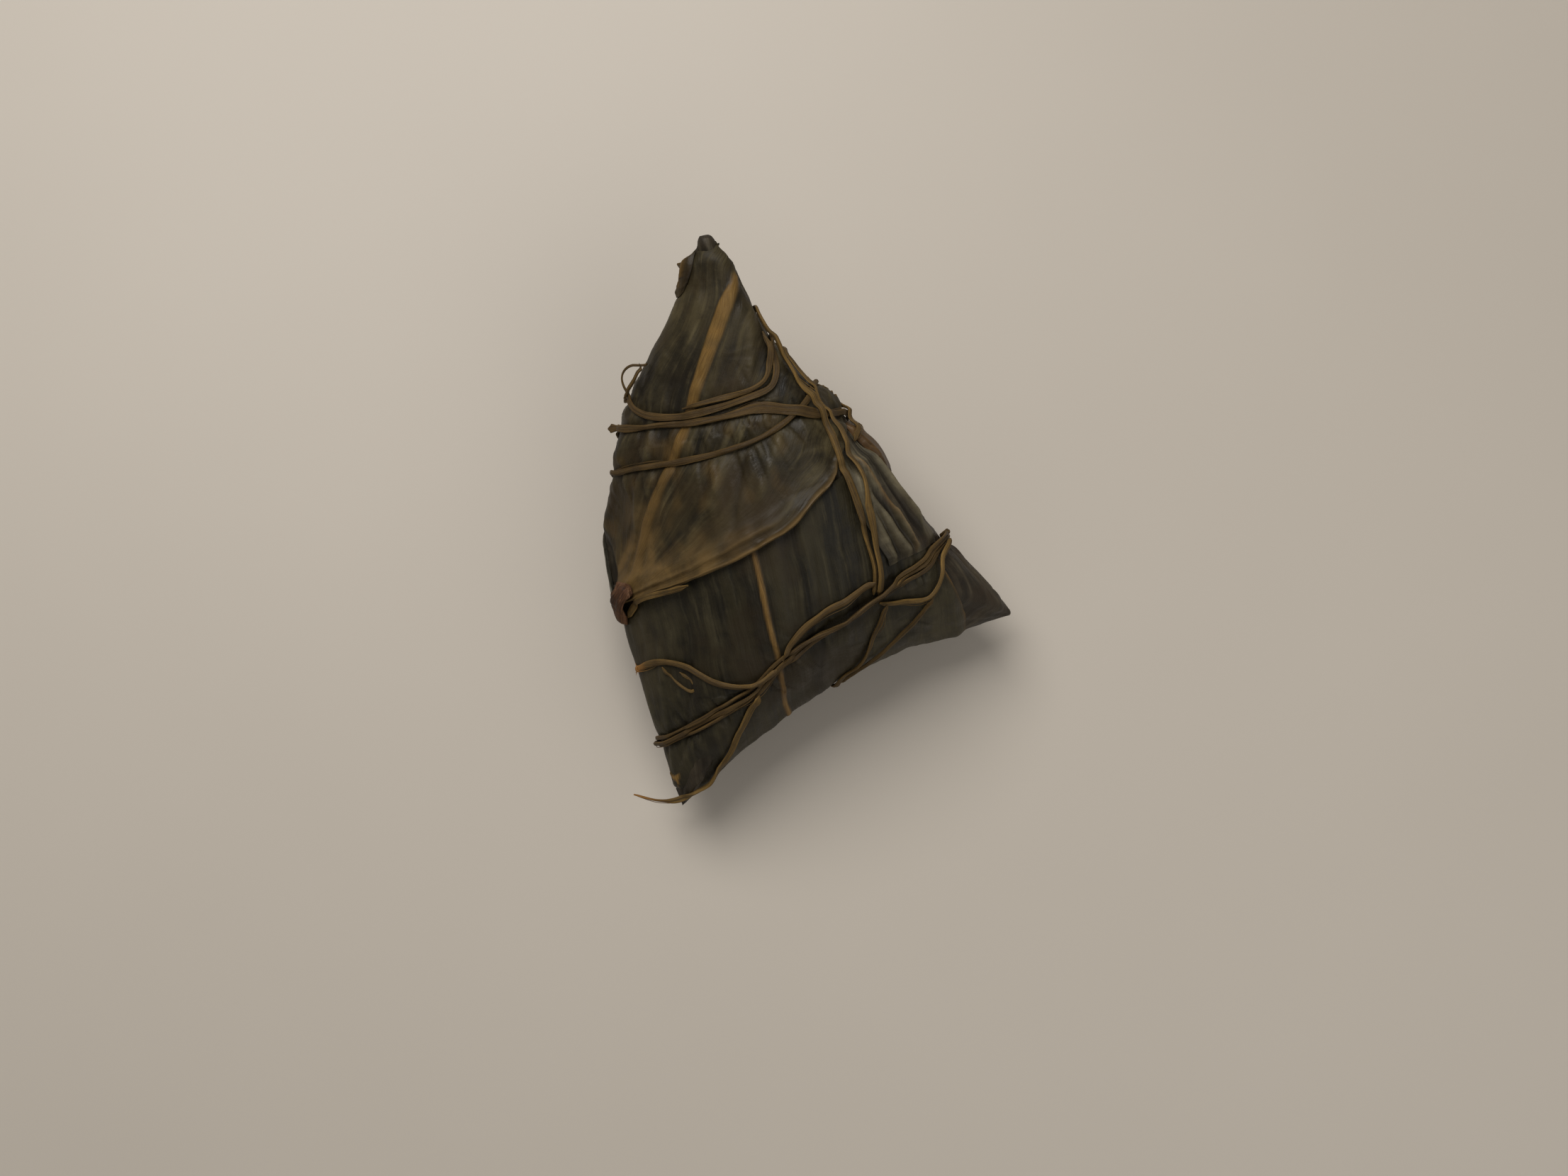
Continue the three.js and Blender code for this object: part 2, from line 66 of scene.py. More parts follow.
swells = [  # place, reach, offset
    ((-29.5, 15.5, 23), 11, (2.4, 0, 0)), ((-25.6, 29, 30), 9, (-1.5, 0, 0)),
    ((13, 21.5, 31), 8, (1, 1, 0)),
]
fullness = [  # what the wet leaves add to the plain hull
    ((-23.6, 36.5, 34), 8, (-1.5, 0.3, 0)), ((5.8, 29.3, 30.5), 6.2, (1.8, 1.5, 0)),
    ((9.2, 26.4, 29.8), 5, (1.5, 1, 0)), ((17, 20, 27), 8, (0.7, 0.5, 0)),
    ((20, 14, 24.5), 7, (0.6, 0.4, 0)), ((-26.2, 27.8, 30), 5.5, (-0.9, 0.2, 0)),
    ((-28, 17.5, 25), 7, (-0.7, 0, 0)), ((-30, 8, 20), 8, (-0.2, 0, 0)),
    ((-30, -1, 17), 8, (-0.7, 0, 0)), ((-27.5, -17, 16), 18, (-2.3, -0.3, 0)),
    ((-15.4, 49.8, 42.6), 4.5, (-2.2, 0, 0.2)), ((-8.8, 49.6, 43.8), 3.6, (0.6, 0.4, 0.2)),
]
parcelLook = {
    "rounding": (0.6, 0.5, 0.3),  # softness of the folds left to right, front to back, top to bottom
    "spread": 1.02,  # how far the softness reaches from the folds
    "restBlend": 1.5,  # height over which the belly turns flat
    "solidCuts": 15, "formerCuts": 47, "cuts": 139,  # fineness of the solid, the former and the skin
    "swell": 0.3, "swellSize": 12,  # broad unevenness
    "creases": 1.0, "creaseCount": 5.0,  # folds that run into the corners
    "sink": 0.25,  # the leaves are laid in this much room
    "flush": 0.45, "flushFrom": (25.5, 30.5),  # the horn swells up to the thin edge of the lower leaf
}
tipLook = {
    "start": (-11.5, 52.9, 45.7), "axis": (0.13, -0.81, -0.57),  # from the end inwards
    "radius": 1.35, "lead": 0.3, "knobLength": 1.8, "fadeFrom": 3.0, "reach": 7.0,
    "lean": (-1.2, 0.5, 0.2),
}
mm = 0.001


def smoothstep(low, high, value):
    t = min(1, max(0, (value - low) / (high - low)))
    return t * t * (3 - 2 * t)


def wave(x, y=0.0, z=0.0):
    return noise.noise(Vector((x, y, z)))


def hump(value, half):
    return math.exp(-(value / half) ** 2)


def softened(value, reach):
    if value > reach:
        return value
    return 0.0 if value < -reach else (value + reach) ** 2 / (4 * reach)


def swollen(place, places):
    for at, reach, offset in places:
        place = place + Vector(offset) * max(0, 1 - (place - Vector(at)).length_squared / reach ** 2) ** 2
    return place


def parcelPlace(direction):
    x, y, z = direction
    spread = parcelLook["spread"] - abs(x) ** 6 - abs(y) ** 6
    pairs = (("horn", "shoulder", x), ("tip", "foot", y), ("crest", "belly", z))
    weights = {}
    for (ahead, behind, value), soft in zip(pairs, parcelLook["rounding"]):
        weights[ahead] = softened(value, soft * spread)
        weights[behind] = softened(-value, soft * spread)
    total = sum(weights.values())
    place = Vector((0, 0, 0))
    for name, corner in corners.items():
        weights[name] /= total
        place += Vector(corner) * weights[name]
    for start, end, offset, lean in bows:
        full = lean ** lean / (lean + 1) ** (lean + 1)
        place += Vector(offset) * (weights[start] ** lean * weights[end] / full)
    place = swollen(place, swells)
    place.z = softened(place.z, parcelLook["restBlend"])
    return place, weights


def filledOut(place):
    # the leaf is doubled over at the tip, so it ends in a small round knob that leans over
    place = swollen(place, fullness)
    look = tipLook
    start, axis = Vector(look["start"]), Vector(look["axis"]).normalized()
    along = (place - start).dot(axis)
    if along > look["reach"]:
        return place
    middle = start + axis * along
    out = place - middle
    near = 1 - smoothstep(0, look["reach"], along)
    fromEnd = min(1, max(0, along + look["lead"]) / look["knobLength"])
    wanted = look["radius"] * math.sqrt(max(0, 1 - (1 - fromEnd) ** 2))
    wanted *= 1 - smoothstep(look["fadeFrom"], look["reach"], along)
    if out.length > 1e-6:
        out *= (out.length ** 4 + wanted ** 4) ** 0.25 / out.length
    return middle + out + Vector(look["lean"]) * near ** 1.4


def parcelHull(cuts, blunt=True):
    bm = bmesh.new()
    bmesh.ops.create_uvsphere(bm, u_segments=4, v_segments=2, radius=1)
    bmesh.ops.subdivide_edges(bm, edges=bm.edges[:], cuts=cuts, use_grid_fill=True)
    weights = []
    for vert in bm.verts:
        vert.co, shares = parcelPlace(vert.co.normalized())
        if blunt:
            vert.co = filledOut(vert.co)
        weights.append(shares)
    bmesh.ops.recalc_face_normals(bm, faces=bm.faces[:])
    bm.normal_update()
    return bm, weights


def middleAndSize(bm):
    low, high = ([pick(v.co[k] for v in bm.verts) for k in range(3)] for pick in (min, max))
    return (Vector(low) + Vector(high)) / 2, Vector(high) - Vector(low)


solidHull, _ = parcelHull(parcelLook["solidCuts"], blunt=False)
hullMiddle, hullSize = middleAndSize(solidHull)
solidHull.free()
cadLow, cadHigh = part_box("leaf_parcel")
shift = (cadLow + cadHigh) / 2 / mm - hullMiddle
shift.z = 0
print("parcel against its solid, mm:", tuple(round(c, 3) for c in (cadHigh - cadLow) / mm - hullSize))

# The former is the smooth body that every leaf and straw is laid on.
former, _ = parcelHull(parcelLook["formerCuts"])
formerTree = BVHTree.FromBMesh(former)
formerFaces = [([v.co.copy() for v in f.verts], [v.normal.copy() for v in f.verts]) for f in former.faces]
former.free()


def nearest(place):
    spot, _, index, _ = formerTree.find_nearest(place)
    points, normals = formerFaces[index]
    shares = poly_3d_calc(points, spot)
    normal = sum((n * s for n, s in zip(normals, shares)), Vector())
    return spot, normal.normalized()


# How high the pieces laid so far stand over a spot of the former.
laid = []
overhead = 14


def heightAbove(spot, normal):
    start = spot + normal * overhead
    low = -1.0
    for tree in laid:
        hit = tree.ray_cast(start, -normal, overhead + 2)
        if hit[0] is not None:
            low = max(low, overhead - hit[3])
    return low


def curveThrough(places):
    points = [Vector(p[:3]) for p in places]
    last = len(points) - 1

    def pointAt(t):
        leg = min(t * last, last - 1e-9)
        i = int(leg)
        s = leg - i
        p1, p2 = points[i], points[i + 1]
        p0 = points[i - 1] if i else p1 * 2 - p2
        p3 = points[i + 2] if i + 2 <= last else p2 * 2 - p1
        d0, d1, d2 = (math.sqrt((b - a).length) for a, b in ((p0, p1), (p1, p2), (p2, p3)))
        m1 = ((p1 - p0) / d0 - (p2 - p0) / (d0 + d1) + (p2 - p1) / d1) * d1
        m2 = ((p2 - p1) / d1 - (p3 - p1) / (d1 + d2) + (p3 - p2) / d2) * d1
        return (p1 * (2 * s ** 3 - 3 * s ** 2 + 1) + m1 * (s ** 3 - 2 * s ** 2 + s)
                + p2 * (3 * s ** 2 - 2 * s ** 3) + m2 * (s ** 3 - s ** 2))
    return pointAt


def alongCurve(places, step, closed=False):
    # evenly spaced points of the curve, each with how far it hangs free
    wrap = 3 if closed else 0
    held = places[-wrap:] + places + places[:wrap + 1] if closed else places
    pointAt = curveThrough(held)
    legs = len(held) - 1
    first, final = wrap / legs, (wrap + len(places)) / legs if closed else 1
    fine = [first + (final - first) * i / (legs * 40) for i in range(legs * 40 + 1)]
    run = [0.0]
    for a, b in zip(fine, fine[1:]):
        run.append(run[-1] + (pointAt(b) - pointAt(a)).length)
    count = max(3, round(run[-1] / step))
    loose = [1.0 if len(p) > 3 else 0.0 for p in held]
    line = []
    for distance in np.linspace(0, run[-1], count + 1):
        t = float(np.interp(distance, run, fine))
        line.append((pointAt(t), float(np.interp(t * legs, range(legs + 1), loose)), float(distance)))
    return line


# The straw's routes, in the order in which it was wound. A closed one has its seam under the belly.
straws = {
    "tie_neck_low": {"press": 1.0, "shade": 0.65, "width": 1.0, "closed": True, "places": [
        (-9, 21, 9), (-18, 18, 7), (-26, 17, 10), (-29, 17.4, 17), (-28.8, 17.5, 23.4), (-25.4, 17.7, 30),
        (-18.3, 18, 35.8), (-10.8, 19, 40.3), (-4.8, 20.8, 42), (-0.7, 23.1, 42), (3, 27, 40.5),
        (5.6, 32.4, 34), (4, 31, 27), (-2, 26, 17)]},
    "tie_neck_cross": {"press": 1.0, "shade": 0.65, "width": 1.15, "bulge": 0.55, "knob": 0.7, "places": [
        (-29.4, 24.8, 27, "free"), (-28.6, 24.8, 27.6, "free"), (-27.2, 24.8, 28.4), (-21.6, 24.2, 34.7),
        (-14.5, 24.2, 39.3), (-8.5, 25, 41.6), (-3.9, 26.2, 42.2), (1.6, 25.7, 41.5), (5.3, 25.5, 39.9),
        (10.5, 27, 32), (10.5, 26, 27), (4, 25, 17), (-6, 24, 9), (-17, 23, 9), (-25, 23, 15),
        (-28, 23.4, 21), (-28.4, 23.8, 24.4), (-27.6, 24.3, 27.4)]},
    "tie_neck_high": {"press": 1.0, "shade": 0.6, "width": 1.15, "slim": (0.45, 9), "places": [
        (-22.6, 34.4, 35.6), (-24.9, 34.3, 35.2, "free"), (-26.3, 33.5, 34.5, "free"),
        (-26.8, 32.2, 33.5, "free"), (-26.3, 30.6, 33, "free"), (-25.5, 28.6, 33), (-23, 26.4, 34.4),
        (-17.8, 25.3, 37.4), (-10.8, 26.2, 41), (-5.7, 27.8, 42.1), (-2, 29.6, 42.1), (-1.2, 32.8, 42),
        (-2, 36.4, 41.9), (-1.6, 38.8, 39), (-2, 38.8, 33), (-8, 34, 21), (-15, 31, 18), (-22, 30, 22),
        (-25.8, 29.2, 28.6), (-25.8, 28.6, 32.2)],
        "branches": [{"width": 0.85, "places": [
            (-22.8, 34.2, 35.4), (-23.9, 33.4, 35.6, "free"), (-24.4, 32.3, 35.2, "free"),
            (-25.2, 31.1, 34.2, "free"), (-26, 30.1, 33.2, "free"), (-26, 29, 32.2)]}]},
    "tie_neck_thin": {"press": 0.4, "shade": 0.5, "width": 0.95, "thin": (3, 3), "places": [
        (-16.6, 26.4, 39.2), (-10.8, 27.6, 41.3), (-5.4, 29, 42.3), (-3, 31, 42.2), (-2.6, 35, 42.2),
        (-3.4, 38.6, 42.6)]},
    "ridge_inner": {"press": 0.6, "width": 1.15, "thin": (2, 1), "places": [
        (-6.5, 42, 34), (-4.8, 43, 38.6), (-4, 42.2, 41.4), (-2.2, 37.8, 41.8), (1.2, 33, 40.6),
        (4.6, 28, 40), (7.2, 22.8, 39.4), (8.8, 17.8, 39.8), (11.2, 11.6, 39.2), (13, 5.5, 37.4),
        (14.4, 0.6, 35), (14.8, -3.6, 33.6)]},
    "ridge_outer": {"press": 0.6, "width": 1.15, "thin": (2, 1), "places": [
        (-1.6, 37.6, 29), (0.2, 37.4, 33.6), (1.4, 36.6, 37), (3.6, 32.8, 37.2), (6.8, 28, 37.9),
        (9.8, 21.8, 38.2), (11.6, 15.6, 38.6), (12.8, 11.2, 38.6), (14, 5.5, 37), (15.2, 0, 34.8),
        (15.6, -3.4, 33.2)]},
    "flank_tie": {"press": 0.3, "width": 1.1, "shade": 0.3, "thin": (2, 2), "places": [
        (9, 29.6, 30), (11, 27, 31.6), (12.2, 24.4, 32.6), (11.4, 21.6, 35.2)]},
    "horn_tie": {"press": 1.2, "shade": 0.6, "width": 2.1, "strips": 3, "closed": True, "places": [
        (-8, -18, 5), (5, -9, 4.5), (18, 0, 6), (25, 5, 10), (28.4, 8, 16), (28, 7.6, 21),
        (25.6, 5, 28.6), (22.6, 1.7, 30.6), (17.8, -2, 32.5), (12.6, -5.6, 33.4), (7.3, -9.4, 33.1),
        (0.5, -14.2, 31.6), (-4.3, -18.4, 29.1), (-11.8, -23.2, 25.2), (-18.3, -26.6, 18.4),
        (-22, -27.6, 13), (-19.4, -25.8, 8)]},
    "horn_upper": {"press": 0.3, "shade": 0.5, "width": 1.2, "thin": (1, 2), "places": [
        (14.5, -1.2, 34.6), (9.6, -4.2, 35.3), (5.1, -7.4, 34.7), (1.4, -10.4, 33), (-0.4, -13.6, 31.6)]},
    "horn_loop": {"press": 0.5, "width": 1.1, "places": [
        (27.6, 6.4, 25), (26.4, 3.4, 28), (25.2, -1.2, 27.6), (23.6, -3.7, 27.6), (19.4, -4.6, 29.6),
        (15.4, -4.4, 31.4)]},
    "front_outer": {"press": 0.3, "shade": 0.5, "width": 0.95, "places": [
        (24.2, -3.2, 27), (22.4, -6.2, 25), (19.4, -10, 22.3), (15.2, -13.4, 20), (11.8, -15.4, 18.6),
        (9.8, -16.2, 17), (8.4, -15.4, 12.4)]},
    "front_inner": {"press": 0.3, "shade": 0.5, "width": 0.95, "places": [
        (16.6, -4.6, 31), (15.6, -8.1, 28.4), (13.9, -12.3, 23), (12.0, -14.6, 20.6), (9.6, -16.6, 18.6),
        (7.9, -17, 16), (6.9, -16.2, 12.4)]},
    "stalk_strip": {"press": 0.2, "width": 1.1, "thin": (1, 2), "places": [
        (-25.6, -6.2, 20), (-24.6, -4.4, 23.4), (-21.6, -3.1, 27), (-18, -2.3, 30), (-14.6, -1.4, 32.6)]},
    "leaf_stalk": {"press": 0, "width": 2.9, "thickness": 1.6, "rough": 0.45, "brown": True, "places": [
        (-25, -1, 24.6), (-26.2, -3.2, 22.4), (-27, -4.8, 20.6), (-27.2, -7.2, 18.4, "free")]},
    "loose_upper": {"press": 0.1, "shade": 0.4, "width": 1.15, "fray": 6, "places": [
        (-1.2, -15.3, 31), (-3.9, -17, 30), (-7.6, -18, 29.2), (-12.1, -16.9, 28.2), (-15.9, -14.7, 26.6),
        (-19.8, -13.9, 23.8), (-22.8, -14.4, 21.8), (-24.8, -15.1, 20.2), (-26.2, -15.5, 19.4)]},
    "loose_split": {"press": 0, "width": 0.6, "thickness": 0.45, "thin": (1, 1), "places": [
        (-19.6, -14.6, 23.2), (-19.2, -15.8, 24), (-18.4, -17.1, 24.6, "free"),
        (-17, -18.3, 25.2, "free"), (-15.2, -19.2, 26, "free"), (-14.6, -18.6, 26.4, "free"),
        (-15.4, -17.2, 26.2, "free"), (-16.8, -15.6, 25.6)]},
    "loose_lower": {"press": 0.1, "width": 1.2, "taper": 9, "places": [
        (-4.4, -19, 28.4), (-6.6, -23.4, 25.4), (-8.8, -27.6, 21.9), (-11.2, -31.4, 17.8),
        (-14.3, -35, 14.4), (-17.8, -37.2, 13.4, "free"), (-21.7, -37.4, 12.6, "free"),
        (-25.8, -36.4, 12, "free")]},
}
strawPlain = {  # what a straw has unless its own entry says otherwise
    "thickness": 0.48, "thin": (0.8, 0.8), "shade": 0, "knob": 0, "bulge": 0, "rough": 0, "fray": 0,
    "strips": 1, "branches": [], "closed": False, "brown": False,
}
straws = {name: {**strawPlain, **straw} for name, straw in straws.items()}
strawLook = {
    "around": 18, "step": 0.3,  # points round a strip, and how far apart its rings are
    "smoothing": 6, "curl": 0.22,  # rounds that even its path, and how hollow its face is
    "press": 0.42, "pressWidth": 1.3,  # how deep and wide a tie sinks into the leaf
    "pucker": 0.34, "puckerReach": 4.2,  # folds that a tie gathers beside it
    "gap": 0.03, "twist": 34, "twistCount": 0.11,
    "reachOver": 14,  # how stiffly a strip bridges what it crosses
    "hairRadius": 0.06, "hairBow": 0.35, "hairEvery": 110,  # rings of a strip for each loose fibre
    "frayLength": 3.2, "frayRadius": 0.14,
}


def tieMarks():
    spots = []
    for number, straw in enumerate(straws.values()):
        if straw["press"] > 0:
            for place, loose, run in alongCurve(straw["places"], 1.0, straw["closed"]):
                if loose < 0.3:
                    spots.append((nearest(place)[0], number, run, straw["press"]))
    tree = KDTree(len(spots))
    for index, spot in enumerate(spots):
        tree.insert(spot[0], index)
    tree.balance()
    return tree, spots


markTree, marks = tieMarks()


def tiePress(spot):
    # depth of the dent under a tie, and the gathered folds that run away from it
    _, index, far = markTree.find(spot)
    _, number, run, press = marks[index]
    dent = press * strawLook["press"] * hump(far, strawLook["pressWidth"])
    folds = wave(run * 0.55, number * 7.3, far * 0.05) + 0.5 * wave(run * 1.3, number * 3.1, far * 0.1)
    near = math.exp(-far / strawLook["puckerReach"]) * (1 - hump(far, 1.1))
    return dent, press * strawLook["pucker"] * near * folds * 2


traceStep = 0.4


def traced(lines):
    # each crease or margin drawn on a piece becomes a row of spots on the former
    rows = []
    for line in lines:
        points = [nearest(place)[0] for place, _, _ in alongCurve(line["places"], traceStep)]
        tree = KDTree(len(points))
        for index, point in enumerate(points):
            tree.insert(point, index)
        tree.balance()
        rows.append((line, points, tree))
    return rows


# a raised line whose crest is painted paler as highlight
def ridge(rise, half, light, *places, taper=3.0):
    return {"rise": rise, "half": half, "light": light, "taper": taper, "places": list(places)}


# a sunk line painted darker as shade
def groove(depth, half, dark, *places, taper=3.0):
    return {"rise": -depth, "half": half, "dark": dark, "taper": taper, "places": list(places)}


def lineRelief(rows, spot, normal):
    # lift, and shares of tan, margin, pale and dark colour; the pale along ridges is painted highlight and
    # the dark in grooves is painted shade
    total = [0.0] * 5
    for line, points, tree in rows:
        _, index, far = tree.find(spot)
        half, fade = line.get("half", 0.5), line.get("fade", 0)
        if far > max(fade, 3 * half):
            continue
        last = len(points) - 1
        tangent = (points[min(index + 1, last)] - points[max(index - 1, 0)]).normalized()
        gap = spot - points[index]
        beyond = abs(gap.dot(tangent)) if index in (0, last) else 0
        share = smoothstep(-0.1, line.get("taper", 3.0), min(index, last - index) * traceStep)
        share *= 1 - smoothstep(0.2, 1.2, beyond)
        across = gap.dot(normal.cross(tangent)) + line.get("sway", 0.25) * wave(index * 0.09, half * 9)
        profile = hump(across, half) * share
        total[0] += line.get("rise", 0) * profile
        for slot, key in enumerate(("tan", "margin", "light", "dark"), 1):
            total[slot] += line.get(key, 0) * profile
        if fade:
            # the leaf on one side lies over the other, with a painted shadow beside its edge
            over = smoothstep(-0.3, 0.3, across) * (1 - smoothstep(0.3, fade, across))
            total[0] += line["step"] * over * share
            total[2] += 0.7 * hump(across - 0.5, 0.5) * share
            total[4] += 0.8 * hump(across + 0.4, 0.35) * share
    return total


# Surfaces. The grain runs in millimetres: across the leaf, along it, through it.
def linear(colour):
    # the tables give colours as they look on a screen, 0 to 255
    def channel(c):
        return c / 255 / 12.92 if c <= 10 else ((c / 255 + 0.055) / 1.055) ** 2.4
    return tuple(channel(c) for c in colour) + (1,)


def addNode(tree, kind, inputs=(), **settings):
    node = tree.nodes.new(kind)
    for key, value in settings.items():
        setattr(node, key, value)
    for key, value in dict(inputs).items():
        if isinstance(value, bpy.types.NodeSocket):
            tree.links.new(value, node.inputs[key])
        else:
            node.inputs[key].default_value = value
    return node


def noiseAt(tree, vector, stretch, detail=4, roughness=0.6, offset=(0, 0, 0)):
    placed = addNode(tree, "ShaderNodeMapping", {"Vector": vector, "Scale": stretch, "Location": offset})
    noiseNode = addNode(tree, "ShaderNodeTexNoise", {
        "Vector": placed.outputs[0], "Scale": 1.0, "Detail": detail, "Roughness": roughness})
    return noiseNode.outputs["Fac"]


def mixAt(tree, factor, a, b):
    node = addNode(tree, "ShaderNodeMix", data_type="RGBA")
    for slot, value in ((0, factor), (6, a), (7, b)):
        if isinstance(value, bpy.types.NodeSocket):
            tree.links.new(value, node.inputs[slot])
        else:
            node.inputs[slot].default_value = value
    return node.outputs[2]


def between(tree, value, low, high, toLow=0.0, toHigh=1.0):
    return addNode(tree, "ShaderNodeMapRange", {
        "Value": value, "From Min": low, "From Max": high, "To Min": toLow, "To Max": toHigh},
        interpolation_type="SMOOTHSTEP").outputs[0]


def maths(tree, kind, a, b):
    return addNode(tree, "ShaderNodeMath", {0: a, 1: b}, operation=kind).outputs[0]


def plus(tree, a, b):
    return maths(tree, "ADD", a, b)


def times(tree, a, b):
    return maths(tree, "MULTIPLY", a, b)


def centred(tree, a):
    return maths(tree, "SUBTRACT", a, 0.5)


def vectorMaths(tree, kind, a, b):
    return addNode(tree, "ShaderNodeVectorMath", {0: a, 1: b}, operation=kind).outputs[0]


def bumpAt(tree, height, strength, distance, below=None):
    inputs = {"Height": height, "Strength": strength, "Distance": distance * mm}
    if below is not None:
        inputs["Normal"] = below
    return addNode(tree, "ShaderNodeBump", inputs).outputs[0]


def startMaterial(name):
    material = bpy.data.materials.new(name)
    material.use_nodes = True
    tree = material.node_tree
    tree.nodes.clear()
    shader = addNode(tree, "ShaderNodeBsdfPrincipled")
    out = addNode(tree, "ShaderNodeOutputMaterial")
    tree.links.new(shader.outputs[0], out.inputs[0])
    return material, tree, shader


leafFinishes = {
    "cookedLeaf": {
        "dark": (20, 16, 8), "middle": (41, 34, 18), "pale": (80, 71, 47), "brown": (46, 34, 16),
        "rib": (99, 72, 31), "ribPale": (126, 97, 48), "rim": (102, 80, 45), "rough": (0.44, 0.64)},
    "darkLeaf": {
        "dark": (21, 18, 10), "middle": (40, 35, 20), "pale": (66, 60, 42), "brown": (40, 31, 17),
        "rib": (102, 75, 33), "ribPale": (134, 104, 54), "rim": (78, 58, 34), "rough": (0.44, 0.64)},
    "flankLeaf": {
        "dark": (22, 18, 10), "middle": (43, 37, 24), "pale": (106, 98, 77), "brown": (52, 38, 21),
        "rib": (108, 80, 40), "ribPale": (140, 110, 64), "rim": (96, 76, 48), "rough": (0.42, 0.62)},
    "greyLeaf": {
        "dark": (38, 35, 28), "middle": (70, 66, 55), "pale": (114, 109, 95), "brown": (58, 49, 36),
        "rib": (112, 82, 42), "ribPale": (150, 120, 72), "rim": (96, 76, 52), "rough": (0.5, 0.7)},
    "brownLeaf": {
        "dark": (38, 26, 14), "middle": (72, 52, 27), "pale": (108, 82, 47), "brown": (52, 36, 19),
        "rib": (112, 82, 42), "ribPale": (150, 120, 72), "rim": (100, 66, 34), "rough": (0.28, 0.5)},
    "hornLeaf": {
        "dark": (29, 24, 16), "middle": (54, 46, 34), "pale": (88, 80, 64), "brown": (52, 40, 28),
        "rib": (100, 74, 40), "ribPale": (146, 116, 70), "rim": (84, 63, 38), "rough": (0.4, 0.6)},
}
leafSurface = {
    "paintedShade": (17, 13, 9),  # painted shade laid into creases, grooves and under overlapping edges
    "wander": 70.0, "wanderBy": (2.6, 2.4, 0),  # how the veins stray
    "blotches": 170, "clouds": 60,  # the more, the finer
    "specular": 0.22, "coat": 0.03, "coatRough": 0.3,
}


def leafMaterial(name, look):
    material, tree, shader = startMaterial(name)
    grain = addNode(tree, "ShaderNodeAttribute", attribute_name="grain").outputs["Vector"]
    mask = addNode(tree, "ShaderNodeAttribute", attribute_name="leafMask")
    parts = addNode(tree, "ShaderNodeSeparateColor", {"Color": mask.outputs["Color"]})
    rib, rim, light, dark = parts.outputs[0], parts.outputs[1], parts.outputs[2], mask.outputs["Alpha"]
    place = addNode(tree, "ShaderNodeTexCoord").outputs["Object"]
    wander = addNode(tree, "ShaderNodeTexNoise", {
        "Vector": place, "Scale": leafSurface["wander"], "Detail": 2.0})
    bent = vectorMaths(tree, "SUBTRACT", wander.outputs["Color"], (0.5, 0.5, 0.5))
    bent = vectorMaths(tree, "MULTIPLY", bent, leafSurface["wanderBy"])
    grain = vectorMaths(tree, "ADD", grain, bent)

    broad = noiseAt(tree, grain, (0.26, 0.02, 0.2), 4, 0.55, (7, 3, 0))
    streaks = noiseAt(tree, grain, (0.85, 0.06, 0.4), 5, 0.62)
    veins = noiseAt(tree, grain, (3.0, 0.05, 0.8), 4, 0.6, (11, 0, 0))
    fibres = noiseAt(tree, grain, (7.0, 0.3, 2.0), 3, 0.6, (3, 5, 0))
    blotches = noiseAt(tree, place, [leafSurface["blotches"]] * 3, 5, 0.66)
    clouds = noiseAt(tree, place, [leafSurface["clouds"]] * 3, 4, 0.6, (4, 2, 1))

    tone = plus(tree, times(tree, broad, 0.75), times(tree, streaks, 0.25))
    tone = plus(tree, tone, times(tree, centred(tree, blotches), 0.45))
    tone = plus(tree, tone, times(tree, centred(tree, clouds), 0.3))
    colour = mixAt(tree, between(tree, tone, 0.38, 0.58), linear(look["dark"]), linear(look["middle"]))
    colour = mixAt(tree, between(tree, clouds, 0.44, 0.66, 0, 0.75), colour, linear(look["brown"]))
    paleness = times(tree, between(tree, streaks, 0.47, 0.68), between(tree, clouds, 0.62, 0.38))
    paleness = times(tree, paleness, between(tree, blotches, 0.34, 0.6, 0.25, 1))
    # the light share is partly the leaf's own paleness and partly painted highlight on ridges, fold crests
    # and tie puckers
    lit = times(tree, light, between(tree, blotches, 0.3, 0.6, 0.35, 1))
    paleness = plus(tree, times(tree, paleness, 0.75), times(tree, lit, 0.85))
    colour = mixAt(tree, maths(tree, "MINIMUM", paleness, 0.95), colour, linear(look["pale"]))
    colour = mixAt(tree, between(tree, veins, 0.52, 0.74, 0, 0.14), colour, linear(look["dark"]))
    colour = mixAt(tree, between(tree, fibres, 0.55, 0.8, 0, 0.18), colour, linear(look["pale"]))
    colour = mixAt(tree, between(tree, blotches, 0.62, 0.76, 0, 0.5), colour, linear(look["dark"]))
    ribShare = between(tree, fibres, 0.34, 0.66)
    ribColour = mixAt(tree, ribShare, linear(look["rib"]), linear(look["ribPale"]))
    ribColour = mixAt(tree, between(tree, clouds, 0.4, 0.66, 0, 0.6), ribColour, linear(look["rim"]))
    colour = mixAt(tree, rib, colour, ribColour)
    rimShare = times(tree, rim, between(tree, blotches, 0.3, 0.6, 0.5, 1))
    colour = mixAt(tree, rimShare, colour, linear(look["rim"]))
    # the dark share of the mask paints shade into creases, grooves, pleat hollows and under overlapping
    # edges
    colour = mixAt(tree, times(tree, dark, 0.85), colour, linear(leafSurface["paintedShade"]))
    tree.links.new(colour, shader.inputs["Base Color"])
    rough = times(tree, streaks, 0.5)
    rough = plus(tree, rough, times(tree, blotches, 0.5))
    tree.links.new(between(tree, rough, 0.36, 0.6, *look["rough"]), shader.inputs["Roughness"])
    normal = bumpAt(tree, blotches, 0.5, 0.4)
    normal = bumpAt(tree, streaks, 0.45, 0.5, normal)
    normal = bumpAt(tree, veins, 0.5, 0.1, normal)
    normal = bumpAt(tree, fibres, 0.6, 0.05, normal)
    tree.links.new(normal, shader.inputs["Normal"])
    shader.inputs["Specular IOR Level"].default_value = leafSurface["specular"]
    shader.inputs["Coat Weight"].default_value = leafSurface["coat"]
    shader.inputs["Coat Roughness"].default_value = leafSurface["coatRough"]
    return material


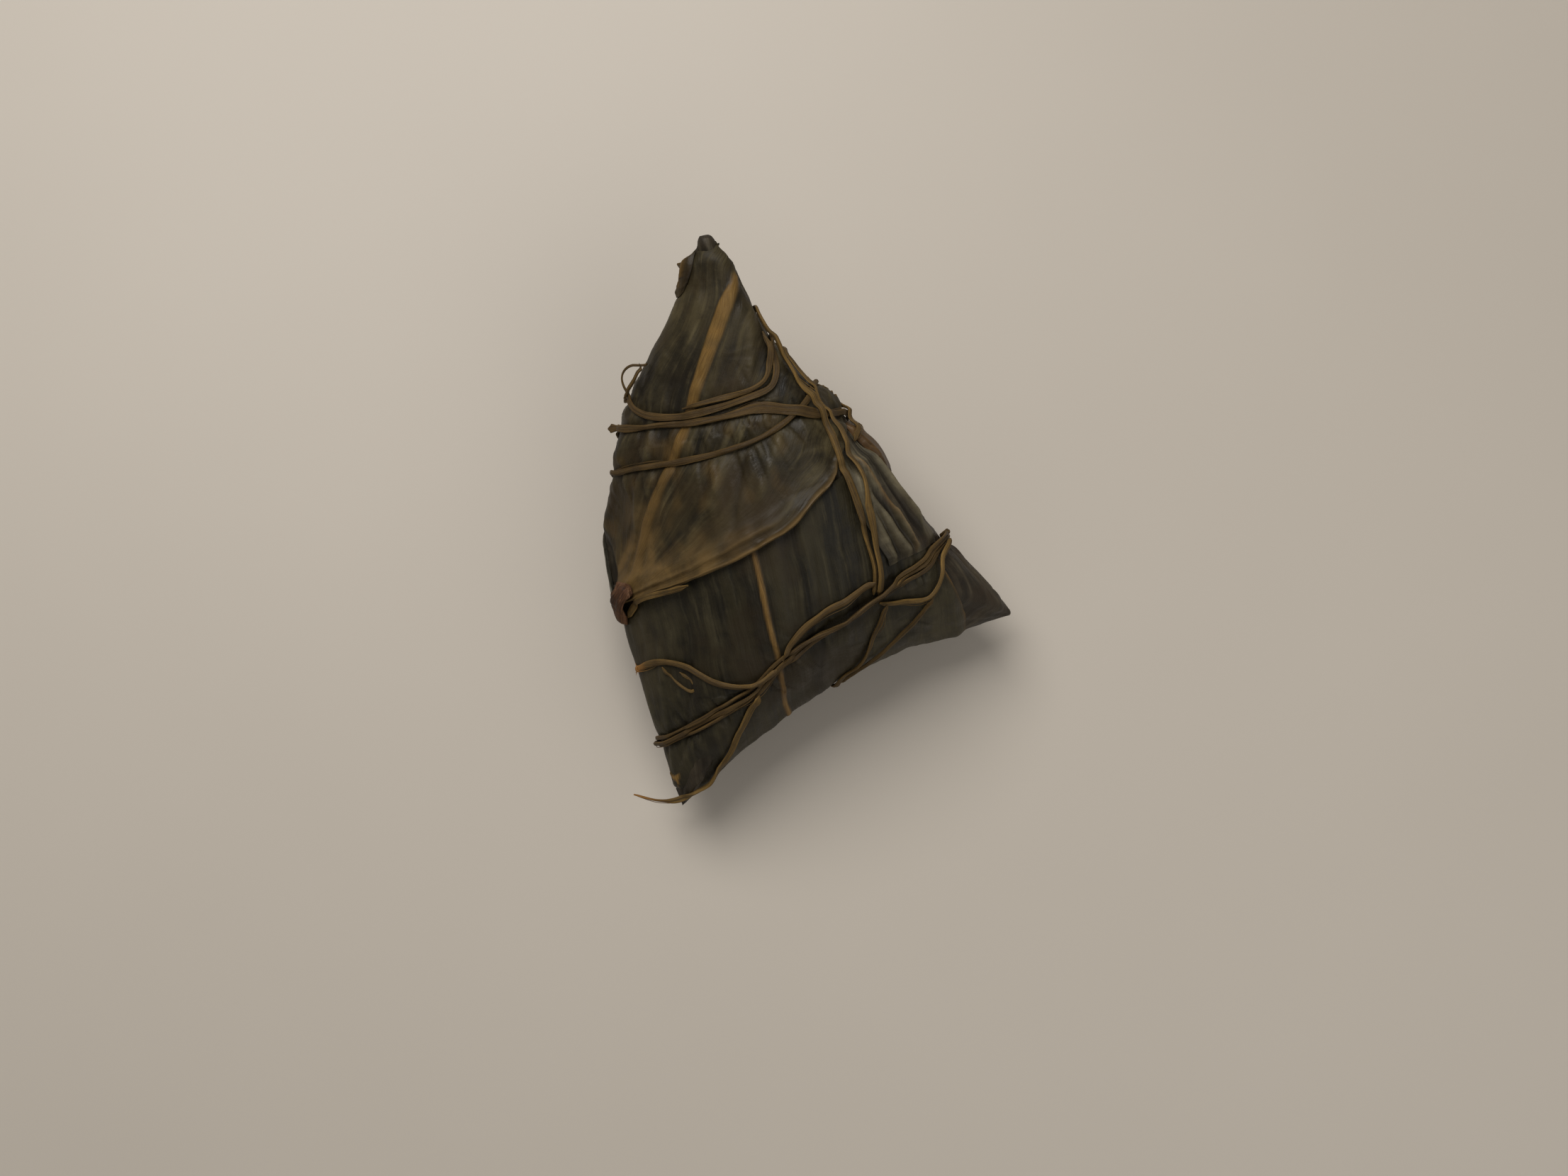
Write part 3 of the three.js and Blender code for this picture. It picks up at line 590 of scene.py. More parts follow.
strawFinish = {
    "dark": (58, 44, 21), "middle": (92, 71, 34), "pale": (122, 95, 48), "tip": (158, 108, 48),
    "shade": (50, 36, 19), "rough": (0.5, 0.75)}
stalkFinish = {
    "dark": (44, 27, 17), "middle": (80, 52, 33), "pale": (116, 84, 58), "tip": (100, 62, 36),
    "shade": (40, 26, 18), "rough": (0.5, 0.75)}


def strawMaterial(name, look):
    material, tree, shader = startMaterial(name)
    grain = addNode(tree, "ShaderNodeAttribute", attribute_name="grain").outputs["Vector"]
    mask = addNode(tree, "ShaderNodeAttribute", attribute_name="leafMask")
    parts = addNode(tree, "ShaderNodeSeparateColor", {"Color": mask.outputs["Color"]})
    tip, edge, shade = parts.outputs[0], parts.outputs[1], mask.outputs["Alpha"]
    fibres = noiseAt(tree, grain, (4.0, 4.0, 0.12), 4, 0.62)
    threads = noiseAt(tree, grain, (9.0, 9.0, 0.4), 3, 0.6, (2, 7, 1))
    stains = noiseAt(tree, grain, (0.3, 0.3, 0.2), 4, 0.6, (5, 1, 9))
    tone = plus(tree, times(tree, fibres, 0.75), times(tree, edge, 0.14))
    tone = plus(tree, tone, times(tree, threads, 0.2))
    colour = mixAt(tree, between(tree, tone, 0.34, 0.56), linear(look["dark"]), linear(look["middle"]))
    colour = mixAt(tree, between(tree, tone, 0.52, 0.7, 0, 0.9), colour, linear(look["pale"]))
    colour = mixAt(tree, between(tree, stains, 0.46, 0.68, 0, 0.6), colour, linear(look["dark"]))
    colour = mixAt(tree, tip, colour, linear(look["tip"]))
    colour = mixAt(tree, times(tree, shade, 0.8), colour, linear(look["shade"]))
    tree.links.new(colour, shader.inputs["Base Color"])
    tree.links.new(between(tree, fibres, 0.3, 0.7, *look["rough"]), shader.inputs["Roughness"])
    normal = bumpAt(tree, fibres, 0.9, 0.25)
    normal = bumpAt(tree, threads, 0.7, 0.08, normal)
    tree.links.new(normal, shader.inputs["Normal"])
    shader.inputs["Specular IOR Level"].default_value = 0.25
    return material


materials = {name: leafMaterial(name, look) for name, look in leafFinishes.items()}
materials["straw"] = strawMaterial("straw", strawFinish)
materials["stalk"] = strawMaterial("stalk", stalkFinish)
print("surfaces ready")


sharpFrom = 50  # degrees


def finishPiece(name, bm, material, slot, node):
    for vert in bm.verts:
        vert.co = (vert.co + shift) * mm
    mesh = bpy.data.meshes.new(name)
    bm.to_mesh(mesh)
    mesh.materials.append(material)
    mesh.shade_smooth()
    mesh.set_sharp_from_angle(angle=math.radians(sharpFrom))
    piece = bpy.data.objects.new(name, mesh)
    scene.collection.objects.link(piece)
    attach(piece, "root")
    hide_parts(node)
    print(name, len(mesh.polygons), "faces")


# The parcel: margins of the leaves wound round its back and belly, and creases of the horn.
parcelLines = [
    {"step": 0.55, "fade": 9, "half": 0.5, "margin": 0.2, "places": [
        (37.5, -4.4, 9), (28, 3, 7.6), (18, 12, 9), (9, 22, 13), (2, 33, 20), (-4, 43, 28),
        (-9, 50, 37)]},
    {"step": 0.5, "fade": 8, "half": 0.5, "margin": 0.2, "places": [
        (-12, 50, 36), (-17, 40, 24), (-19, 30, 14), (-19, 20, 8), (-17, 8, 4), (-14, -4, 3),
        (-12, -16, 4)]},
    {"step": 0.45, "fade": 7, "half": 0.5, "places": [
        (33, -3, 8), (22, -4, 5), (10, -6, 4), (-4, -12, 5), (-14, -22, 6), (-17, -32, 8)]},
    ridge(0.35, 0.5, 0.3, (24, 6.5, 25), (29, 2.4, 21), (33.5, -1.4, 17.4), (37, -4, 14)),
    groove(0.35, 0.45, 0.5, (24, 8, 22), (29, 3.6, 18.6), (34, -0.6, 15), (37.5, -3.6, 12.6)),
    ridge(0.4, 0.6, 0.2, (26, 9, 17), (30, 5.4, 15), (34.5, 1, 12.6), (37.6, -2.4, 11)),
    ridge(0.3, 0.5, 0.25, (12, 26, 22), (6, 34, 26), (0, 42, 32), (-6, 48.6, 39)),
    groove(0.3, 0.5, 0.4, (14, 22, 17), (8, 31, 20), (1, 40, 27), (-6.4, 48, 35.6)),
    ridge(0.35, 0.6, 0.2, (-26, 24, 18), (-24, 32, 24), (-20, 40, 31), (-16, 47, 38)),
]
# which way the leaf runs on a side of the parcel: across it and along it
sideGrain = {
    "front": ((1, 0.2, 0), (0, 1, 0)),
    "horn": ((0, -0.8, 1.2), (1, 0, 0)),
    "hornBack": ((0.7, 0.21, 0.69), (-0.6, 0.7, 0.4)),
    "shoulderBack": ((-0.79, -0.05, 0.62), (-0.32, -0.82, -0.48)),
}


def grainOn(side, place):
    across, along = (Vector(way) for way in sideGrain[side])
    return Vector((place.dot(across), place.dot(along), 0))


def sideOf(shares):
    if shares["horn"] > 0.42 and shares["belly"] < 0.3:
        return "horn"
    if shares["tip"] > shares["foot"] and shares["belly"] > shares["crest"]:
        return "hornBack" if shares["horn"] > shares["shoulder"] else "shoulderBack"
    return "front"


def buildParcel():
    look = parcelLook
    bm, weights = parcelHull(look["cuts"])
    rows = traced(parcelLines)
    grain = bm.verts.layers.float_vector.new("grain")
    mask = bm.verts.layers.float_color.new("leafMask")
    moves = []
    for vert, shares in zip(bm.verts, weights):
        place = vert.co
        lift = look["swell"] * noise.fractal(place / look["swellSize"], 0.9, 2.1, 3)
        side = sideOf(shares)
        vert[grain] = grainOn(side, place)
        d, s, _ = vert[grain]
        lift += 0.16 * wave(d * 0.55, s * 0.05, 8.2) + 0.1 * wave(d * 1.5, s * 0.08, 3.1)
        fold = 0.0
        for name in ("tip", "foot", "horn", "shoulder"):
            near = shares[name]
            if near > 0.25:
                out = place - Vector(corners[name])
                turn = math.atan2(out.z, out.x if abs(corners[name][1]) > 20 else out.y)
                crease = wave(turn * look["creaseCount"], near * 1.3, len(name) * 3.7)
                fold += near ** 1.5 * (1 - near) ** 0.5 * crease
        dent, pucker = tiePress(place)
        line, tan, margin, light, dark = lineRelief(rows, nearest(place)[0], vert.normal)
        flush = look["flush"] * smoothstep(*look["flushFrom"], place.x)
        lift += look["creases"] * fold + pucker - dent + line + flush
        rest = smoothstep(0.2, 3.0, place.z)
        sink = look["sink"] * (1 - smoothstep(0.8, 0.92, shares["tip"]))
        moves.append(vert.normal * ((lift - sink) * rest))
        # crests of the corner creases are painted paler as highlight; the wave adds pale streaks of the
        # leaf's own
        light += max(0, fold * 1.2) + 0.5 * max(0, wave(d * 0.4, s * 0.04, 5.5))
        vert[mask] = [min(1, max(0, c)) for c in (tan, margin * rest, light * 0.7, dark)]
    for vert, move in zip(bm.verts, moves):
        vert.co += move
    laid.append(BVHTree.FromBMesh(bm))
    finishPiece("leaf_parcel_skin", bm, materials["hornLeaf"], "leaf", "leaf_parcel")


def blurred(values, axis):
    widths = [(1, 1) if k == axis else (0, 0) for k in range(values.ndim)]
    padded = np.pad(values, widths, "edge")
    count = values.shape[axis]
    before, now, after = (padded.take(range(k, k + count), axis) for k in range(3))
    return (before + 2 * now + after) / 4


def softer(values, rounds):
    for axis, count in enumerate(rounds):
        for _ in range(count):
            values = blurred(values, axis)
    return values


def settled(raw, rounds):
    # a stiff sheet bridges the hollows between the things it lies on
    height = raw
    for turn in range(max(rounds)):
        for axis in range(raw.ndim):
            if turn < rounds[axis]:
                height = blurred(height, axis)
        height = np.maximum(height, raw)
    return height


def roundsFor(reach, sizes, most):
    # rounds of smoothing that spread this far over cells of these sizes
    return [min(most, max(2, round(2 * (reach / size) ** 2))) for size in sizes]


leafLook = {  # what a leaf has unless its own entry says otherwise
    "thickness": 0.32, "room": 0.4, "softRoom": 0.1,  # room keeps it above what it lies on
    "drape": 1.3, "mostDrape": 60,  # how stiffly it bridges hollows
    "calm": 0.4, "mostCalm": 40,  # how far small kinks are smoothed away
    "give": 1,  # how much of a tie's dent it takes
    "edgeWave": 0.35,  # how much its margins waver
    "crowd": 0,  # draws its lengthwise lines towards the right margin
    "lines": [], "feather": {},
}


def spreadRows(look, shares):
    # rows of spots on the former between the leaf's three rails, and how high each has to lie
    curves = [curveThrough(rail) for rail in look["rails"]]
    along = look["grid"][0]
    raw = np.zeros((along + 1, len(shares)))
    length, spots, widths = [0.0], [], []
    before = None
    for i in range(along + 1):
        left, middle, right = (curve(i / along) for curve in curves)
        rough = (middle - left).length + (right - middle).length
        if before is not None:
            length.append(length[-1] + (nearest(middle)[0] - nearest(before)[0]).length)
        before = middle
        row = []
        for j, v in enumerate(shares):
            hand = 1 if v > 0.5 else -1
            edge = wave(length[i] * 0.16, 3.7, hand * 9.1) + 0.3 * wave(length[i] * 0.6, 8.1, hand * 5.3)
            edge *= look["edgeWave"]
            v += hand * abs(2 * v - 1) ** 6 * edge / max(rough, 1)
            place = left * ((1 - v) * (1 - 2 * v)) + middle * (4 * v * (1 - v))
            place += right * (v * (2 * v - 1))
            spot, normal = nearest(place)
            raw[i, j] = heightAbove(spot, normal)
            row.append((spot, normal))
        steps = [0.0] + [(b[0] - a[0]).length for a, b in zip(row, row[1:])]
        run = np.cumsum(steps)
        widths.append((run, float(np.interp(0.5, shares, run))))
        spots.append(row)
    return raw, spots, length, widths


def giveThickness(bm, thickness):
    inward = bm.verts.layers.float_vector.new("inward")
    for vert in bm.verts:
        vert[inward] = vert.normal * (-0.9 * thickness)
    made = bmesh.ops.extrude_face_region(bm, geom=bm.faces[:], use_keep_orig=True)["geom"]
    for vert in made:
        if isinstance(vert, bmesh.types.BMVert):
            vert.co += Vector(vert[inward])
    bm.verts.layers.float_vector.remove(inward)
    bmesh.ops.recalc_face_normals(bm, faces=bm.faces[:])


def layLeaf(name, look):
    look = {**leafLook, **look}
    along, across = look["grid"]
    thickness = look["thickness"]
    rows = traced(look["lines"])
    ribRow = traced([{"places": look["rib"]}])[0] if "rib" in look else None
    bm = bmesh.new()
    grain = bm.verts.layers.float_vector.new("grain")
    mask = bm.verts.layers.float_color.new("leafMask")
    bmesh.ops.create_grid(bm, x_segments=across, y_segments=along, size=0.5)
    bm.verts.ensure_lookup_table()
    shares = [j / across + look["crowd"] * math.sin(math.pi * j / across) for j in range(across + 1)]
    raw, spots, length, widths = spreadRows(look, shares)
    whole = length[-1]
    typical = sum(run[-1] for run, _ in widths) / len(widths)
    sizes = [max(0.05, size) for size in (whole / along, typical / across)]
    calm = roundsFor(look["calm"], sizes, look["mostCalm"])
    height = softer(settled(raw, roundsFor(look["drape"], sizes, look["mostDrape"])), calm)
    places = softer(np.array([[spot for spot, _ in row] for row in spots]), calm)
    normals = softer(np.array([[normal for _, normal in row] for row in spots]), calm)
    spots = [[(Vector(p), Vector(n).normalized()) for p, n in zip(*row)] for row in zip(places, normals)]
    for index, vert in enumerate(bm.verts):
        i, j = divmod(index, across + 1)
        spot, normal = spots[i][j]
        run, ribAt = widths[i]
        at = {"u": i / along, "v": shares[j], "s": length[i], "toRib": float(run[j] - ribAt),
              "start": length[i], "end": whole - length[i], "left": float(run[j]),
              "right": float(run[-1] - run[j]), "spot": spot}
        if ribRow:
            at["toRib"] = acrossLine(ribRow, spot, normal)
        lift, tan, margin, light, dark = look["relief"](at)
        drawn = lineRelief(rows, spot, normal)
        lift += drawn[0]
        dent, pucker = tiePress(spot)
        rise = lift + (pucker - dent) * look["give"] + look["room"]
        rise = (rise + math.sqrt(rise * rise + look["softRoom"])) / 2
        hem = 1.0
        for side, far in look["feather"].items():
            hem = min(hem, smoothstep(-0.2, far, at[side]))
        vert.co = spot + normal * (height[i, j] + rise * hem + 0.05 + thickness * max(hem, 0.3))
        d = (shares[j] - 0.5) * typical
        vert[grain] = grainOn(look["grain"], spot) if "grain" in look else (d, length[i], 0)
        # pucker crests beside the ties are painted paler as highlight
        colours = (tan + drawn[1], margin + drawn[2], light + drawn[3] + pucker * 0.8, dark + drawn[4])
        vert[mask] = [min(1, max(0, c)) for c in colours]
    bm.normal_update()
    facing = sum(bm.verts[k].normal.dot(spots[k // (across + 1)][k % (across + 1)][1])
                 for k in range(0, len(bm.verts), 7))
    if facing < 0:
        bmesh.ops.reverse_faces(bm, faces=bm.faces[:])
        bm.normal_update()
    laid.append(BVHTree.FromBMesh(bm))
    giveThickness(bm, thickness)
    finishPiece(name + "_sheet", bm, materials[look["finish"]], look["slot"], name)


def acrossLine(row, spot, normal):
    # signed distance from a drawn line
    _, points, tree = row
    _, index, _ = tree.find(spot)
    last = len(points) - 1
    tangent = (points[min(index + 1, last)] - points[max(index - 1, 0)]).normalized()
    return (spot - points[index]).dot(normal.cross(tangent))


def ribProfile(distance, half, soft):
    return 1 - smoothstep(half - soft, half + soft, abs(distance))


def unevenness(spot, d, s, seed):
    # soft folds that run with the grain, over broad swelling
    swell = 0.3 * noise.fractal(Vector((spot.x * 0.11, spot.y * 0.06, seed)), 0.8, 2.0, 3)
    fold = wave(d * 0.34, s * 0.03, seed + 2) + 0.5 * wave(d * 0.8, s * 0.06, seed + 5)
    veins = 0.03 * wave(d * 2.6, s * 0.07, seed + 9)
    return swell + 0.24 * fold + veins, fold


# The upper leaf, with its wide rib and its rolled margin.
upperLook = {
    "ribTop": 1.15, "ribLow": 0.9, "ribRise": 0.3, "ribEnds": 47.6,
    "bead": 0.7, "beadAt": 0.5, "beadHalf": 0.42,  # the rolled margin
}


def upperRelief(at):
    look, spot, u, s, d = upperLook, at["spot"], at["u"], at["s"], at["toRib"]
    half = look["ribLow"] + (look["ribTop"] - look["ribLow"]) * smoothstep(24, 38, spot.y)
    half *= 1 - 0.6 * smoothstep(42, 48, spot.y)
    half *= 1 + 0.12 * wave(s * 0.35, 3.3)
    rib = ribProfile(d + 0.25 * wave(s * 0.12, 6.6), half, 0.22)
    rib *= 1 - smoothstep(look["ribEnds"] - 1.2, look["ribEnds"] + 0.4, spot.y)
    lift, fold = unevenness(spot, d, s, 2.2)
    lift += look["ribRise"] * rib * (1 - 0.35 * (d / half) ** 2)
    lift -= 0.14 * hump(abs(d) - half - 0.4, 0.4)
    front = smoothstep(0.66, 0.5, u)
    edge = at["right"] + 0.2 * wave(s * 0.3, 1.7)
    wide = look["beadHalf"] * (1 + 0.45 * wave(s * 0.11, 2.9))
    bead = hump(edge - look["beadAt"], wide) * front
    ripple = 0.3 * hump(edge, 3.0) * front * wave(s * 0.2, 7.1)
    lift += bead * look["bead"] * (1 + 0.9 * wave(s * 0.13, 4.4)) + ripple
    second = hump(edge - 2.3 - 0.8 * wave(s * 0.1, 8.8), 0.5) * smoothstep(0.42, 0.3, u)
    lift += 0.3 * second
    base = smoothstep(0.18, 0.02, u)
    nearEdge = min(at["right"], abs(d) * 1.6) - 3 * wave(s * 0.25, d * 0.25)
    spread = smoothstep(0.34, 0.08, u) * smoothstep(13, 3, nearEdge)
    patchy = 0.7 + 1.1 * wave(s * 0.2, d * 0.3, 5.1) + 0.5 * wave(s * 0.5, d * 0.7, 2.6)
    margin = max(bead * 0.95, 0.85 * base, spread * patchy, 0.4 * second, 0.2 * hump(edge, 1.4) * front)
    # painted shade along the groove beside the raised rib
    shade = 0.55 * hump(abs(d) - half - 0.25, 0.22) * smoothstep(20, 38, spot.y)
    rib *= 1 - 0.25 * smoothstep(0.1, 0.9, d / half)
    mottle = max(0, wave(spot.x * 0.34, spot.y * 0.26, 9.7) - 0.12)
    mottle *= smoothstep(34, 16, spot.y) * smoothstep(6, -4, spot.x)
    ripe = 0.62 + 0.38 * smoothstep(22, 34, spot.y)
    tan = 0.5 * mottle + rib * ripe * (0.85 + 0.3 * wave(s * 0.5, 9.9))
    pale = 0.05 + 0.22 * smoothstep(34, 44, spot.y)
    # fold crests are painted paler as highlight, and the leaf is paler towards the tip
    return lift, tan, margin, max(0, fold) * 0.45 + pale, shade


# The lower leaf, with its narrow rib and a pale spot at the front edge.
lowerLook = {"ribHalf": 0.42, "ribRise": 0.22, "paleSpot": (9.6, -17.4, 18.4)}


def lowerRelief(at):
    spot, s = at["spot"], at["s"]
    d = at["toRib"] + 0.25 * wave(s * 0.1, 7.7)
    half = lowerLook["ribHalf"] + 0.08 * wave(s * 0.4, 2.2)
    rib = ribProfile(d, half, 0.16) * smoothstep(0.2, 2.5, at["start"])
    across, along, _ = grainOn("front", spot)
    lift, fold = unevenness(spot, across, along, 7.2)
    rim = hump(at["right"] - 0.3, 0.4)
    pale = 0.7 * hump((spot - Vector(lowerLook["paleSpot"])).length, 1.6)
    pale += 0.35 * smoothstep(-13, -24, spot.x)
    pale += 0.6 * smoothstep(5, 14, spot.x) * smoothstep(33, 24, spot.z)
    pale += 0.2 * smoothstep(-18, -28, spot.y)
    lift += lowerLook["ribRise"] * rib
    # fold crests are painted paler as highlight, and a line of painted shade runs beside the rib
    return lift, rib, rim * 0.5, max(0, fold) * 0.4 + pale, 0.3 * hump(abs(d) - half, 0.25)


# The pleats run along the flank leaf; their crests are painted paler as highlight and their hollows darker
# as shade.
flankLook = {"pleats": 5.5, "pleatRise": 0.35, "pleatHighlight": 0.5, "pleatShade": 0.7}


def flankRelief(at):
    look = flankLook
    lift, fold = unevenness(at["spot"], at["toRib"], at["s"], 5.2)
    pleat = wave(at["v"] * look["pleats"], at["s"] * 0.03, 4.1)
    light = max(0, fold) * 0.3 + look["pleatHighlight"] * max(0, pleat) + 0.3 * smoothstep(0.6, 1, at["v"])
    return lift + look["pleatRise"] * pleat, 0, 0, light, look["pleatShade"] * max(0, -pleat)


def brownRelief(at):
    lift, fold = unevenness(at["spot"], at["toRib"], at["s"], 1.2)
    rim = 1 - smoothstep(0.1, 0.6, min(at["left"], at["right"]))
    # fold crests are painted paler as highlight
    return lift * 0.8, 0, rim * 0.35, max(0, fold) * 0.4, 0


# The grey leaf at the side is gathered closely; the more pleats, the closer they are.
underLook = {"pleats": 2.6, "pleatRise": 0.25}


def underRelief(at):
    lift, _ = unevenness(at["spot"], at["toRib"], at["s"], 3.2)
    pleat = math.sin(at["left"] * underLook["pleats"] + 1.5 * wave(at["s"] * 0.12, 5.5))
    seen = smoothstep(3, 9, at["left"]) * smoothstep(1, 6, at["end"])
    # painted shade in the pleat hollows and where the leaf runs in under the one above; painted highlight
    # on the pleat crests in view
    dark = 0.4 * max(0, -pleat) + 0.5 * (1 - seen)
    return lift + underLook["pleatRise"] * pleat * seen, 0, 0, 0.45 * max(0, pleat) * seen, dark


# How far the tan tab and the streak beside it stand out of the fold at the tip.
tipFoldLook = {"tab": 1.3, "streak": 0.2}


def tipFoldRelief(at):
    lift, fold = unevenness(at["spot"], at["toRib"], at["s"], 6.2)
    tab = hump(at["end"] - 1.0, 0.7) * hump(at["left"], 0.8)
    streak = hump(at["left"] - 1.6, 0.6) * smoothstep(1, 3, at["start"])
    # painted shade along the crease at the right edge, and fold crests painted paler as highlight
    crease = hump(at["right"], 0.5)
    lift = lift * 0.6 + tipFoldLook["tab"] * tab + tipFoldLook["streak"] * streak
    return lift, 0.55 * streak + 0.3 * tab, tab + 0.2, max(0, fold) * 0.3, crease * 0.3


